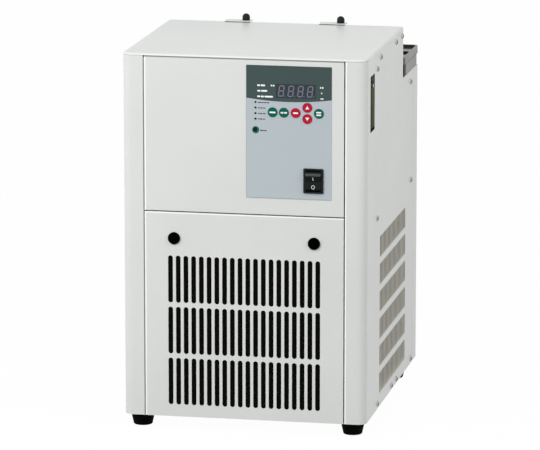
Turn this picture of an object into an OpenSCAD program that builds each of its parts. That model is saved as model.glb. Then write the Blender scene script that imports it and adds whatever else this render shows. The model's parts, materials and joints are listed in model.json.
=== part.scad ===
// Benchtop heating and cooling circulator. An air-cooled refrigerator and a heater hold the
// temperature of a small reservoir, and a pump sends its liquid out of the back.
// Millimetres, +Z up. The control panel faces -Y and X runs to the right, seen from the front.
// Pieces are drawn with the front panels at y = 0 and the housing's lower edge at z = 0, and
// seat() then stands the whole on its feet, centred on the origin.

/* [Housing] */
// Width across the two side covers
housing_w = 280; // [250:1:340]
// Depth from the front panels to the rear panel
housing_d = 350; // [320:1:420]
// Height of the housing above its feet
housing_h = 418; // [400:1:480]
// Thickness of the painted sheet
sheet = 1.2; // [0.8:0.1:1.6]
// Width that each side cover shows beside the front panels
pillar_w = 25; // [20:1:30]
// Radius of the upright front corners
corner_r = 11; // [6:0.5:14]
// Radius of the top cover's rolled edge
roll_r = 2.4; // [2:0.1:4]
// Dark gap between neighbouring panels
seam = 1.5; // [1:0.1:2.5]
// Distance of the gap between the two front panels below the top
upper_h = 180; // [160:1:192]
// Depth of the folds behind the edges of the front panels
fold = 12; // [8:1:15]
// Length along each side of the rear panel's folds
rear_fold = 30; // [20:1:36]

/* [Recess at the top rear] */
// Depth of the recess, from its wall to the rear of the housing
recess_d = 105; // [90:1:112]
// Height of the recess below the top
recess_h = 61; // [50:1:70]
// Radius of the recess's lower corner in the side covers
recess_r = 3; // [1:0.5:6]
// Gap between the recess's wall and the tank's rim
rim_gap = 17; // [12:1:20]
// Height of the tank's raised rim
rim_h = 7; // [5:0.5:9]
// Height of the rim's lower edge above the recess's floor line
rim_lift = 16; // [10:1:20]
// How far the rim stands out over its skirt at the sides
rim_over = 1; // [0.5:0.1:2]
// How far the rim reaches over the foam in front of its skirt
rim_shelf = 12.5; // [8:0.5:15]
// Radius of the rim's corners
rim_r = 7; // [4:0.5:10]
// Width of the rim at its sides
rim_side = 2.4; // [2:0.1:4]
// Width of the rim at its front
rim_front = 12; // [8:0.5:16]
// Width of the bar between the two lids
lid_bar = 15; // [8:0.5:18]
// Depth of each lid, front to back
lid_d = 26; // [18:0.5:28]
// Clearance round each lid
lid_gap = 0.3; // [0.2:0.05:0.6]

/* [Control panel] */
// Distance of the overlay from the right edge of its panel
overlay_gap = 13.95; // [10:0.05:18]
// Width of the overlay
overlay_w = 97.3; // [92:0.1:100]
// Distance of the overlay's upper edge below the top
overlay_drop = 9.3; // [7:0.1:14]
// Height of the overlay
overlay_h = 151.1; // [146:0.1:154]
// Thickness of the overlay
overlay_t = 0.5; // [0.3:0.1:0.8]
// Radius of a key
key_r = 5.45; // [4:0.05:5.8]
// Travel of a key
key_travel = 0.5; // [0.3:0.1:1]
// How far a key stands proud of the overlay
key_proud = 0.6; // [0.3:0.1:1.5]
// Clearance round a key
key_gap = 0.2; // [0.1:0.05:0.3]
// Radius of an indicator lamp
lamp_r = 1.1; // [0.8:0.1:1.6]
// Width of the digit display
display_w = 45.5; // [40:0.5:48]
// Height of the digit display
display_h = 16; // [13:0.5:18]

/* [Power switch] */
// Width of the switch's frame
switch_w = 22.6; // [18:0.1:24]
// Height of the switch's frame
switch_h = 28.2; // [26:0.1:30]
// Depth of the switch's body behind the panel
switch_d = 20; // [16:0.5:24]
// Angle of the rocker either side of level
rocker_tilt = 8; // [5:0.5:9]
// Length of the slanted facet at each end of the rocker
rocker_facet = 3.2; // [1.5:0.1:4]
// Running clearance of the rocker's pins
pin_gap = 0.05; // [0.02:0.01:0.08]

/* [Grilles] */
// Width of a slot
slot_w = 5.6; // [3:0.1:6]
// Distance between neighbouring slots
slot_pitch = 8.93; // [8:0.01:9.6]
// Slots in each row of the front grille
slot_count = 20; // [8:1:20]
// Length of a front slot
front_slot = 54.7; // [40:0.1:56]
// Distance between the rows of the front grille
front_row = 59.4; // [58:0.1:62]
// Height of the front grille's lowest slots
front_slot_z = 13.7; // [13:0.1:20]
// Length of a side slot
side_slot = 24.5; // [16:0.1:28]
// Distance between the rows of the side grilles
side_row = 32; // [30:0.1:34]
// Start of the side grilles behind the front panels
side_slot_y = 92; // [80:1:110]
// Height of the side grilles' lowest slots
side_slot_z = 15; // [12:0.5:24]
// Least distance of the side grilles from the covers' rear seam
side_slot_end = 50; // [45:1:52]

/* [Level window] */
// Start of the window behind the front panels
window_y = 24; // [22:0.5:34]
// Width of the window along the side
window_w = 28; // [20:0.5:32]
// Distance of the window's lower edge below the top
window_drop = 87; // [83:1:95]
// Height of the window
window_h = 64; // [50:1:68]
// Radius of the sight tube
sight_r = 4.5; // [3:0.1:5.5]

/* [Feet and fasteners] */
// Height of a rubber foot
foot_h = 15; // [8:0.5:20]
// Radius of a foot at the top
foot_top_r = 13.6; // [10:0.1:14]
// Radius of a foot at the floor
foot_low_r = 11; // [8:0.1:12]
// Distance of the feet's centres from the sides
foot_inset = 18; // [15:0.5:24]
// Distance of the front feet behind the front panels
foot_front_y = 20; // [16:0.5:30]
// Distance of the rear feet in front of the rear panel
foot_rear_inset = 50; // [40:1:90]
// Radius of a quarter-turn fastener's head
fastener_r = 6.9; // [5:0.1:8]
// Distance of the fasteners from the side edges of their panel
fastener_inset = 33.75; // [28:0.25:40]
// Distance of the fasteners below the gap between the front panels
fastener_drop = 30.7; // [26:0.1:33]
// Radius of a thumb screw's head
thumb_r = 4.5; // [3.5:0.1:5.5]
// Height of a thumb screw's head
thumb_h = 8; // [5:0.5:10]
// Radius of a cover screw's shank
screw_r = 1.5; // [1:0.1:2]
// Radius of a cover screw's head
screw_head_r = 2.9; // [2.5:0.1:3.5]

/* [Rear fittings] */
// Outside radius of a hose nozzle
nozzle_r = 5.25; // [4:0.05:7]
// Inside radius of a hose nozzle
nozzle_bore_r = 3.75; // [2.5:0.05:5]
// How far a nozzle stands out behind the rear panel
nozzle_reach = 26; // [20:0.5:40]
// Distance of the two hose nozzles below the middle deck
nozzle_drop = 52; // [40:1:60]
// Distance of the outlet nozzle from the right side
outlet_inset = 45; // [40:0.5:52]
// Distance of the return nozzle from the centre line
return_x = 40; // [30:0.5:50]
// Distance of the drain cock from the left side
drain_inset = 35; // [35:0.5:40]
// Height of the drain cock
drain_z = 40; // [34:1:60]

/* [Refrigerator] */
// Radius of the compressor's shell
compressor_r = 60; // [48:1:62]
// Room between the compressor's shell and the middle deck
compressor_room = 40; // [36:1:70]
// Room between the condenser's fins and the middle deck
condenser_room = 40; // [34:1:60]
// Room between the condenser's fins and each side of the housing
condenser_side = 52; // [50:1:64]
// Depth of the condenser's fins
condenser_d = 38; // [30:1:44]
// Distance between the condenser's fins
fin_pitch = 5.5; // [3:0.1:8]
// Room between the fan's blades and the edges of the condenser
fan_room = 14; // [12:0.5:24]
// Blades of the fan
fan_blades = 5; // [3:1:9]
// Pitch angle of the fan's blades
blade_angle = 32; // [20:1:45]

/* [Reservoir] */
// Thickness of the foam at the reservoir's sides
foam_side = 26.6; // [24:0.2:34]
// Distance of the reservoir's front ahead of the recess
tank_front = 87; // [84:1:92]
// Thickness of the foam under the reservoir
foam_under = 24.8; // [18:0.2:30]
// Radius of the evaporator's tube
coil_r = 3.5; // [2.5:0.1:4]
// Distance between the evaporator's passes
coil_pitch = 16; // [14:0.5:18]
// Radius of the coolant pipes
hose_r = 6; // [4:0.1:7]

/* [Hidden] */
$fn = 64;
half_w = housing_w / 2;
mid_seam_z = housing_h - upper_h;
inner_w = half_w - sheet;
inner_rear = housing_d - sheet;
side_d = housing_d - rear_fold;
panel_w = half_w - pillar_w - seam / 2;
pillar_x = half_w - pillar_w + seam / 2;
rail_y = sheet + fold;
lip_z = housing_h - roll_r;
top_panel_z = lip_z - seam;
upper_z = mid_seam_z + seam / 2;
lower_top_z = mid_seam_z - seam / 2;
notch_y = housing_d - recess_d;
notch_z = housing_h - recess_h;
foam_w = inner_w - 0.2;
skirt_w = half_w - 0.1;
rim_w = skirt_w + rim_over;
rim_y = notch_y + rim_gap;
rim_z = notch_z + rim_lift;
rim_top = rim_z + rim_h;
rim_rear = housing_d - 0.1;
lid_x = rim_w - rim_side;
front_lid_y = rim_y + rim_front;
rear_lid_y = front_lid_y + lid_d + lid_bar;
rear_lid_d = rim_rear - rim_side - rear_lid_y;
lid_spans = [[front_lid_y, lid_d], [rear_lid_y, rear_lid_d]];
lid_sunk = 3;
ledge = 4;
deck_z = mid_seam_z - 6;
deck_top = deck_z + sheet;
fastener_x = panel_w - fastener_inset;
fastener_z = mid_seam_z - fastener_drop;
front_rows = floor((fastener_z - 10 - front_slot_z - front_slot) / front_row) + 1;
side_rows = floor((deck_z - 16 - side_slot_z - side_slot) / side_row) + 1;
side_slots = floor((side_d - side_slot_end - side_slot_y - slot_w) / slot_pitch) + 1;
window_z = housing_h - window_drop;
foot_rear_y = housing_d - foot_rear_inset;
overlay_x = panel_w - overlay_gap - overlay_w;
overlay_z = housing_h - overlay_drop - overlay_h;
rail_low = fastener_z - 9.5;
rail_mid = mid_seam_z - 16;
rail_high = mid_seam_z + 16;
board_y = 10;
board_t = 1.6;
board_z = overlay_z + 42;
key_row_z = overlay_z + 98.1;
key_flange_r = key_r + 0.65;
key_flange_t = 1;
key_stem_end = 5;
key_spots = [
    [overlay_x + 30.1, key_row_z], [overlay_x + 43, key_row_z], [overlay_x + 56.4, key_row_z],
    [overlay_x + 69.7, key_row_z + 6.4], [overlay_x + 69.7, key_row_z - 6.4],
    [overlay_x + 82.8, key_row_z]
];
lamp_spots = [for (i = [0 : 3]) [overlay_x + 10.6, overlay_z + 109.2 - 6.33 * i]];
display_x = overlay_x + 33.6;
display_z = overlay_z + 114.6;
switch_x = overlay_x + 76.8;
switch_z = overlay_z + 21.5;
switch_rim = 1.7;
switch_proud = 1.8;
switch_body_w = switch_w - 1.4;
switch_body_h = switch_h - 1.6;
rocker_w = switch_w - 5.4;
rocker_h = switch_h - 6.2;
rocker_y = 4;
rocker_pin_r = 1.5;
rocker_front = 9;
rocker_crest = rocker_h / 2 - rocker_facet;
supply_x = -100;
supply_y = 36;
supply_w = 80;
supply_h = 44;
filter_y = sheet + 0.4;
filter_t = 5;
condenser_y = 22;
condenser_z = 12;
condenser_h = deck_z - condenser_room - condenser_z;
condenser_w = 2 * (half_w - condenser_side);
fan_r = min(condenser_w, condenser_h) / 2 - fan_room;
shroud_y = condenser_y + condenser_d;
fan_y = shroud_y + 24;
fan_z = condenser_z + condenser_h / 2;
fan_depth = 24;
hub_r = 22;
motor_y = fan_y + fan_depth / 2 + 4;
motor_len = 38;
fan_shaft_r = 4;
header_x = condenser_w / 2 + 3;
liquid_y = condenser_y + condenser_d / 4;
gas_y = condenser_y + condenser_d * 3 / 4;
compressor_x = compressor_r + 18 - half_w;
compressor_y = housing_d - 25 - compressor_r;
compressor_z = 22;
compressor_h = deck_z - compressor_room - compressor_z;
dome_h = 26;
dome_r = (compressor_r * compressor_r + dome_h * dome_h) / (2 * dome_h);
discharge_x = 23 - half_w;
discharge_z = condenser_z + condenser_h * 3 / 4;
drier_x = 11 - half_w;
drier_z = 60;
tank_w = 2 * (foam_w - foam_side);
tank_y = notch_y - tank_front;
tank_z = deck_top + foam_under;
tank_top = notch_z - 7;
neck_y = front_lid_y - ledge;
tank_rear = rear_lid_y + lid_d - ledge;
supply_d = tank_y - 38 - supply_y;
suction_x = 8 - tank_w / 2;
suction_y = tank_y - 28;
suction_z = 90;
outlet_x = half_w - outlet_inset;
drain_x = drain_inset - half_w;
nozzle_z = deck_z - nozzle_drop;
tank_ports = [[outlet_x, tank_y + 42], [return_x, tank_rear - 19], [drain_x, tank_rear - 12]];
hose_bend = 12;
pipe_z = tank_top + 12;
coil_x = 18 - tank_w / 2;
coil_end = tank_w / 2 - 16;
coil_y = tank_y + 22;
heater_y = coil_y + 32;
gauge_x = inner_w - 7;
gauge_y = window_y + window_w / 2;
gauge_leg_y = tank_y - 30;
pump_x = outlet_x;
pump_z = 50;
pump_y = housing_d - 88;
pump_r = 32;
pump_len = 70;
pump_head_d = 26;
pump_spout_y = pump_y - pump_head_d / 2;
pump_spout_z = pump_z + pump_r + 14;
spindle_r = 3;
vent_z = 28;
vent_slot = 50;
vent_row = 64;
vent_rows = floor((nozzle_z - 20 - vent_z - vent_slot) / vent_row) + 1;
bracket_x = 56.4;
knob_x = [-47.8, 65];
inlet_x = -60;
inlet_z = deck_z - 42;
inlet_flange = 2.5;
inlet_w = 26.8;
inlet_h = 18.8;
inlet_deep = 22;
front_reach = rocker_front * cos(rocker_tilt) + rocker_crest * sin(rocker_tilt) - rocker_y;
rear_reach = nozzle_reach;
front_y = -(housing_d + front_reach + rear_reach) / 2 + front_reach;
side_screws = [
    [notch_y - 7, housing_h - 10], [notch_y - 48, housing_h - 10.6], [92.6, housing_h - 11],
    [70.6, housing_h - 21.4], [side_d - 20, notch_z - 13], [side_d - 15, deck_z - 7],
    [71.5, deck_z - 7.5], [79, 6], [side_d - 9, 6], [side_d - 111.5, 5], [side_d - 146, 5]
];
rear_screws = [
    [-0.86, notch_z - 12], [0, notch_z - 12], [0.86, notch_z - 12], [-0.86, 8], [0.86, 8]
];
paint = [0.86, 0.87, 0.86];
steel = [0.62, 0.62, 0.58];
black = [0.08, 0.08, 0.08];

// Stands a piece drawn from the housing's lower front edge on its feet
module seat() {
    translate([0, front_y, foot_h]) children();
}

// Upright plate across the front, drawn in x and z, with its front face at y
module across(y, t) {
    translate([0, y + t, 0]) rotate([90, 0, 0]) linear_extrude(t) children();
}

// Upright plate along a side, drawn in y and z, with its lower face at x
module along(x, t) {
    translate([x, 0, 0]) rotate([90, 0, 90]) linear_extrude(t) children();
}

// Level plate, drawn in x and y, with its lower face at z
module level(z, t) {
    translate([0, 0, z]) linear_extrude(t) children();
}

// Box between two opposite corners
module span(a, b) {
    translate(a) cube(b - a);
}

module rounded(w, h, r) {
    translate([r, 0]) square([w - 2 * r, h]);
    translate([0, r]) square([w, h - 2 * r]);
    for (x = [r, w - r], y = [r, h - r]) translate([x, y]) circle(r);
}

module slot(w, h) {
    translate([0, w / 2]) square([w, h - w]);
    for (y = [w / 2, h - w / 2]) translate([w / 2, y]) circle(w / 2);
}

// Rows of upright slots, the first at the lower left
module slot_field(rows, count, length, row_pitch) {
    for (row = [0 : rows - 1], i = [0 : count - 1])
        translate([i * slot_pitch, row * row_pitch]) slot(slot_w, length);
}

function unit(v) = v / norm(v);

// Round bar between two points, or nothing where they meet
module bar(from, to, r) {
    d = unit(to - from);
    if (norm(to - from) > 0.01)
        translate(from) rotate([0, acos(d.z), atan2(d.y, d.x)])
            cylinder(r = r, h = norm(to - from));
}

// Quarter bend at a corner, from the direction a to the direction b
module elbow(corner, a, b, r, bend) {
    c = corner - bend * a + bend * b;
    n = cross(-b, a);
    multmatrix([[-b.x, a.x, n.x, c.x], [-b.y, a.y, n.y, c.y], [-b.z, a.z, n.z, c.z], [0, 0, 0, 1]])
        rotate_extrude(angle = 90) translate([bend, 0]) circle(r);
}

// Pipe through points whose legs run along the axes, with a quarter bend at each corner
module pipe_run(p, r, bend) {
    last = len(p) - 1;
    for (i = [0 : last - 1]) {
        d = unit(p[i + 1] - p[i]);
        bar(p[i] + (i == 0 ? 0 : bend) * d, p[i + 1] - (i + 1 == last ? 0 : bend) * d, r);
    }
    for (i = [1 : last - 1])
        elbow(p[i], unit(p[i] - p[i - 1]), unit(p[i + 1] - p[i]), r, bend);
}

// Bores for the side screws, right through both sides
module side_screw_bores() {
    for (s = side_screws) bar([-half_w - 1, s.x, s.y], [half_w + 1, s.x, s.y], screw_r + 0.1);
}

module rear_screw_bores() {
    for (s = rear_screws)
        bar([s.x * inner_w, housing_d - 20, s.y], [s.x * inner_w, housing_d + 1, s.y],
            screw_r + 0.1);
}

// Pan-head screw with its head on top and its shank down, the head's underside at z = 0
module pan_screw(grip) {
    rotate_extrude() {
        square([screw_head_r, 0.9]);
        translate([0, 0.9]) intersection() {
            translate([0, -screw_head_r * 2 + 0.9]) circle(screw_head_r * 2);
            square([screw_head_r - 0.4, 2]);
        }
        translate([0, -grip]) square([screw_r, grip]);
    }
}

// Inside of the housing seen from above, with the rounded front corners
module inner_plan() {
    r = corner_r - sheet;
    translate([-inner_w + r, sheet]) square([2 * (inner_w - r), inner_rear - sheet]);
    translate([-inner_w, sheet + r]) square([2 * inner_w, inner_rear - sheet - r]);
    for (s = [-1, 1]) translate([s * (inner_w - r), sheet + r]) circle(r);
}

// Right half of the housing's outline seen from above, or of a face inside it
module half_plan(inset) {
    r = corner_r - inset;
    translate([0, inset]) square([half_w - corner_r, side_d]);
    translate([0, corner_r]) square([half_w - inset, side_d]);
    translate([half_w - corner_r, corner_r]) circle(r);
}

module base_chassis() color(paint) seat() difference() {
    union() {
        level(0, sheet) inner_plan();
        for (s = [-1, 1]) along(s < 0 ? -inner_w : inner_w - sheet, sheet)
            translate([20, 0]) square([side_d - 31, 20]);
        across(sheet, sheet) translate([-panel_w + sheet, 0]) square([2 * (panel_w - sheet), 12]);
        across(inner_rear - sheet, sheet) translate([-inner_w, 0]) square([2 * inner_w, 20]);
    }
    side_screw_bores();
    rear_screw_bores();
    for (x = [-1 : 1], i = [0 : 4]) translate([x * 60 - 20, 82 + 12 * i, -1])
        rotate([0, 0, -90]) linear_extrude(3) slot(5, 40);
}

// Plan of the right side cover, one folded sheet from the front panels to the rear fold
module cover_plan() {
    intersection() {
        difference() {
            half_plan(0);
            half_plan(sheet);
        }
        translate([pillar_x, -1]) square([half_w, side_d + 1]);
    }
}

// Tab at the rear edge of the right side cover, joggled inwards under the rear panel's fold
module rear_tab_plan() {
    translate([inner_w - sheet, side_d - 10]) {
        square([sheet, 20]);
        square([1.5 * sheet, 10]);
    }
}

// Folds of the right side cover that stand inside: beside the panels and under the rear fold
module cover_folds_plan() {
    translate([pillar_x, 0]) square([sheet, rail_y + sheet]);
    rear_tab_plan();
}

module recess_outline() {
    difference() {
        translate([notch_y, notch_z]) square([recess_d + 10, recess_h + 10]);
        translate([notch_y, notch_z]) square(recess_r);
    }
    translate([notch_y + recess_r, notch_z + recess_r]) circle(recess_r);
}

module side_cover_blank() {
    difference() {
        union() {
            level(0, lip_z) cover_plan();
            level(sheet, deck_z - 4 - sheet) cover_folds_plan();
            level(deck_z - 4, lip_z - deck_z + 4) translate([pillar_x, 0])
                square([sheet, rail_y + sheet]);
            level(deck_top, notch_z - 6 - deck_top) rear_tab_plan();
        }
        along(inner_w - 5, 10) recess_outline();
        along(inner_w - 5, 10) translate([side_slot_y, side_slot_z])
            slot_field(side_rows, side_slots, side_slot, side_row);
        side_screw_bores();
    }
}

module left_side_cover() color(paint) seat() mirror([1, 0, 0]) side_cover_blank();

module right_side_cover() color(paint) seat() difference() {
    side_cover_blank();
    along(inner_w - 1, 10) translate([window_y, window_z]) rounded(window_w, window_h, 2);
}

// Disc with a straight tail to its left
module tailed_disc(r) {
    circle(r);
    translate([-3, -r]) square([3, 2 * r]);
}

// Rolled edge of the top cover in section, from a strip of its upper face down and out
module roll_section() {
    intersection() {
        difference() {
            tailed_disc(roll_r);
            tailed_disc(roll_r - sheet);
        }
        translate([-1, 0]) square([roll_r + 1, roll_r]);
    }
}

module top_cover() color(paint) seat() difference() {
    union() {
        level(housing_h - sheet, sheet) {
            translate([-half_w + corner_r, roll_r])
                square([2 * (half_w - corner_r), notch_y - roll_r]);
            translate([-half_w + roll_r, corner_r])
                square([2 * (half_w - roll_r), notch_y - corner_r]);
            for (s = [-1, 1]) translate([s * (half_w - corner_r), corner_r])
                circle(corner_r - roll_r);
        }
        for (s = [-1, 1]) translate([s * (half_w - roll_r), notch_y, lip_z])
            rotate([90, 0, 0]) linear_extrude(notch_y - corner_r)
                mirror([s < 0 ? 1 : 0, 0]) roll_section();
        translate([-half_w + corner_r, roll_r, lip_z]) rotate([90, 0, 90])
            linear_extrude(2 * (half_w - corner_r)) mirror([1, 0]) roll_section();
        for (s = [0, 1]) mirror([s, 0, 0]) translate([half_w - corner_r, corner_r, lip_z])
            rotate([0, 0, -90]) rotate_extrude(angle = 90)
                translate([corner_r - roll_r, 0]) roll_section();
        for (s = [-1, 1]) along(s < 0 ? -inner_w : inner_w - sheet, sheet)
            translate([window_y + window_w + 8, housing_h - 26])
                square([notch_y - window_y - window_w - 28, 26 - sheet]);
    }
    side_screw_bores();
}

// Front panel with folds behind its edges, drawn from its lower left corner
module folded_panel(low, high, fold_low) {
    across(0, sheet) translate([-panel_w, low]) square([2 * panel_w, high - low]);
    for (s = [-1, 1]) along(s < 0 ? -panel_w : panel_w - sheet, sheet)
        translate([sheet / 2, fold_low]) square([fold + sheet / 2, high - fold_low]);
    level(high - sheet, sheet) translate([-panel_w, sheet / 2])
        square([2 * panel_w, fold + sheet / 2]);
}

module upper_front_panel() color(paint) seat() difference() {
    union() {
        folded_panel(upper_z, top_panel_z, upper_z);
        level(upper_z, sheet) translate([-panel_w, sheet / 2])
            square([2 * panel_w, fold + sheet / 2]);
    }
    across(-1, 3) {
        for (k = key_spots) translate(k) circle(key_r + key_gap);
        for (k = lamp_spots) translate(k) circle(lamp_r + 0.1);
        translate([switch_x - switch_body_w / 2, switch_z - switch_body_h / 2])
            square([switch_body_w, switch_body_h]);
        translate([display_x, display_z]) square([display_w, display_h]);
    }
}

module lower_front_grille() color(paint) seat() difference() {
    folded_panel(0, lower_top_z, sheet);
    across(-1, 3) {
        translate([-(slot_count - 1) * slot_pitch / 2 - slot_w / 2, front_slot_z])
            slot_field(front_rows, slot_count, front_slot, front_row);
        for (s = [-1, 1]) translate([s * fastener_x, fastener_z]) circle(fastener_r - 0.4);
    }
}

module rear_panel() color(paint) seat() difference() {
    union() {
        across(inner_rear, sheet) translate([-half_w, 0]) square([housing_w, notch_z]);
        for (s = [-1, 1]) along(s < 0 ? -half_w : inner_w, sheet)
            translate([side_d + 0.6, 0]) square([rear_fold - 0.6, notch_z]);
    }
    rear_screw_bores();
    across(inner_rear - 1, 4) {
        for (x = [outlet_x, return_x]) translate([x, nozzle_z]) circle(nozzle_r + 1.5);
        translate([drain_x, drain_z]) circle(8);
        translate([inlet_x - inlet_w / 2 - 0.1, inlet_z - inlet_h / 2 - 0.1])
            square([inlet_w + 0.2, inlet_h + 0.2]);
        for (s = [-1, 1]) translate([inlet_x + 20 * s, inlet_z]) circle(screw_r + 0.1);
        for (i = [0 : 9], row = [0 : vent_rows - 1])
            translate([-45 + 10 * i, vent_z + vent_row * row]) slot(slot_w, vent_slot);
    }
}

module recess_wall() color(paint) seat() difference() {
    union() {
        across(notch_y - sheet, sheet) translate([-inner_w, notch_z - 7])
            square([2 * inner_w, recess_h + 7 - sheet]);
        level(notch_z - 7, sheet) translate([-inner_w, notch_y - 14])
            square([2 * inner_w, 14 - sheet / 2]);
        for (s = [-1, 1]) along(s < 0 ? -inner_w : inner_w - sheet, sheet)
            translate([notch_y - 14, notch_z - 7])
                square([14 - sheet / 2, recess_h + 7 - sheet]);
    }
    side_screw_bores();
    for (s = [-1, 1]) translate([s * bracket_x, notch_y - 5, housing_h - 12])
        rotate([-90, 0, 0]) cylinder(r = screw_r + 0.1, h = 10);
}

module front_rail() color(paint) seat() difference() {
    across(rail_y, sheet) {
        translate([-pillar_x, rail_mid]) square([2 * pillar_x, rail_high - rail_mid]);
        for (s = [-1, 1]) translate([s * fastener_x - 12, rail_low])
            square([24, rail_mid - rail_low]);
    }
    for (s = [-1, 1]) translate([s * fastener_x, 0, fastener_z]) {
        rotate([-90, 0, 0]) cylinder(r = 4.05, h = 40);
        span([-1.8, rail_y - 1, -7.3], [1.8, rail_y + sheet + 1, 7.3]);
    }
}

module middle_deck() color(paint) seat() difference() {
    union() {
        level(deck_z, sheet) difference() {
            inner_plan();
            square([housing_w, 2 * (rail_y + sheet)], center = true);
        }
        for (s = [-1, 1]) along(s < 0 ? -inner_w : inner_w - sheet, sheet)
            translate([40, deck_z - 16]) square([inner_rear - 40, 16 + sheet / 2]);
    }
    side_screw_bores();
    level(deck_z - 1, 4) {
        for (p = tank_ports) translate(p) circle(hose_r + 1);
        translate([drier_x, liquid_y]) circle(3);
        translate([suction_x, suction_y]) circle(7);
    }
    for (s = [-1, 1]) along(s < 0 ? -half_w : inner_w - 4, 5)
        translate([side_d - 11, deck_z - 30]) square([22, 26 + 4 + sheet + 1]);
}

module rubber_feet() color(black) seat()
    for (x = [-half_w + foot_inset, half_w - foot_inset], y = [foot_front_y, foot_rear_y])
        translate([x, y, -foot_h]) rotate_extrude() difference() {
            union() {
                polygon([[0, 1.5], [foot_low_r, 1.5], [foot_top_r, foot_h - 2],
                    [foot_top_r, foot_h], [0, foot_h]]);
                square([foot_low_r - 1.5, 1.5]);
                translate([foot_low_r - 1.5, 1.5]) intersection() {
                    circle(1.5);
                    translate([0, -1.5]) square(1.5);
                }
            }
            square([4, 5]);
        }

module cover_screws() color(steel) seat() {
    for (s = side_screws, side = [-1, 1]) translate([side * half_w, s.x, s.y])
        rotate([0, side * 90, 0]) pan_screw(2 * sheet);
    for (s = rear_screws) translate([s.x * inner_w, housing_d, s.y]) rotate([-90, 0, 0])
        pan_screw(2 * sheet);
    for (s = [-1, 1]) {
        translate([s * bracket_x, notch_y + sheet, housing_h - 12]) rotate([-90, 0, 0])
            pan_screw(2 * sheet);
        translate([inlet_x + 20 * s, housing_d + inlet_flange, inlet_z]) rotate([-90, 0, 0])
            pan_screw(inlet_flange + sheet);
    }
}

module control_overlay() color([0.71, 0.75, 0.78]) seat() difference() {
    across(-overlay_t, overlay_t) translate([overlay_x, overlay_z])
        rounded(overlay_w, overlay_h, 0.8);
    across(-overlay_t - 1, overlay_t + 2) {
        for (k = key_spots) translate(k) circle(key_r + key_gap);
        for (k = lamp_spots) translate(k) circle(lamp_r + 0.1);
        translate([switch_x - switch_body_w / 2, switch_z - switch_body_h / 2])
            square([switch_body_w, switch_body_h]);
        translate([display_x, display_z]) square([display_w, display_h]);
    }
}

module display_module() color([0.2, 0.24, 0.24]) seat() {
    across(-overlay_t + 0.1, board_y + overlay_t - 0.1) translate([display_x, display_z])
        square([display_w, display_h]);
}

module indicator_lamps() color([0.1, 0.12, 0.12]) seat()
    for (k = lamp_spots) translate([k.x, board_y, k.y]) rotate([90, 0, 0]) {
        cylinder(r = lamp_r, h = board_y + overlay_t);
        translate([0, 0, board_y + overlay_t]) difference() {
            sphere(lamp_r * 0.99);
            translate([-2, -2, -4]) cube(4);
        }
    }

module control_board() color([0.1, 0.35, 0.2]) seat() {
    across(board_y, board_t) translate([overlay_x + 1, board_z])
        square([overlay_w - 2, overlay_h - 46]);
    for (k = key_spots)
        span([k.x - 3, key_stem_end + key_travel + 0.05, k.y - 3],
            [k.x + 3, board_y + board_t / 2, k.y + 3]);
    for (x = [overlay_x + 5, overlay_x + overlay_w - 5], z = [board_z + 4, board_z + 100])
        bar([x, sheet, z], [x, board_y + board_t / 2, z], 2.5);
    span([overlay_x + 10, board_y + board_t / 2, board_z + 10],
        [overlay_x + 29, board_y + 17, board_z + 26]);
    span([overlay_x + 34, board_y + board_t / 2, board_z + 10],
        [overlay_x + 53, board_y + 17, board_z + 26]);
    span([overlay_x + 20, board_y + board_t / 2, board_z + 50],
        [overlay_x + 34, board_y + 5, board_z + 64]);
    span([overlay_x + 60, board_y + board_t / 2, board_z + 12],
        [overlay_x + 90, board_y + 12, board_z + 20]);
    for (i = [0 : 2])
        bar([overlay_x + 52 + 12 * i, board_y + board_t / 2, board_z + 60],
            [overlay_x + 52 + 12 * i, board_y + 14, board_z + 60], 4);
}

module power_supply() color([0.6, 0.62, 0.62]) seat() {
    difference() {
        translate([supply_x, supply_y, deck_top]) cube([supply_w, supply_d, supply_h]);
        translate([supply_x + sheet, supply_y + sheet, deck_top + sheet])
            cube([supply_w - 2 * sheet, supply_d - 2 * sheet, supply_h]);
    }
    translate([supply_x + 8, supply_y + 12, deck_top + sheet / 2]) cube([32, 32, 34]);
    translate([supply_x + 48, supply_y + 12, deck_top + sheet / 2]) cube([24, 22, 22]);
    for (i = [0 : 2]) translate([supply_x + 20 * (i + 1), supply_y + supply_d - 15,
        deck_top + sheet / 2]) cylinder(r = 8, h = 32);
}

module switch_body() color(black) seat() translate([switch_x, 0, switch_z]) difference() {
    union() {
        across(-overlay_t - switch_proud, switch_proud)
            translate([-switch_w / 2, -switch_h / 2]) rounded(switch_w, switch_h, 1.2);
        across(-overlay_t, switch_d + overlay_t)
            translate([-switch_body_w / 2, -switch_body_h / 2])
                square([switch_body_w, switch_body_h]);
        for (z = [-7, 0, 7]) span([-3.2, switch_d, z - 0.4], [3.2, switch_d + 9, z + 0.4]);
    }
    across(-overlay_t - switch_proud - 1, switch_proud + 13)
        translate([-rocker_w / 2 - 0.2, -switch_h / 2 + switch_rim])
            square([rocker_w + 0.4, switch_h - 2 * switch_rim]);
    bar([-rocker_w / 2 - 1.4, rocker_y, 0], [rocker_w / 2 + 1.4, rocker_y, 0],
        rocker_pin_r + pin_gap);
}

// Rocker with its upper half standing proud, which is off
module switch_rocker() color(black) seat() translate([switch_x, rocker_y, switch_z])
    rotate([rocker_tilt, 0, 0]) {
        along(-rocker_w / 2, rocker_w)
            polygon([[-rocker_front, rocker_crest], [-6.4, 0], [-rocker_front, -rocker_crest],
                [rocker_facet - rocker_front, -rocker_h / 2], [-2, -rocker_h / 2],
                [0, -rocker_h / 2 + 2], [4, 0], [0, rocker_h / 2 - 2],
                [-2, rocker_h / 2], [rocker_facet - rocker_front, rocker_h / 2]]);
        bar([-rocker_w / 2 - 1.2, 0, 0], [rocker_w / 2 + 1.2, 0, 0], rocker_pin_r);
    }

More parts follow.
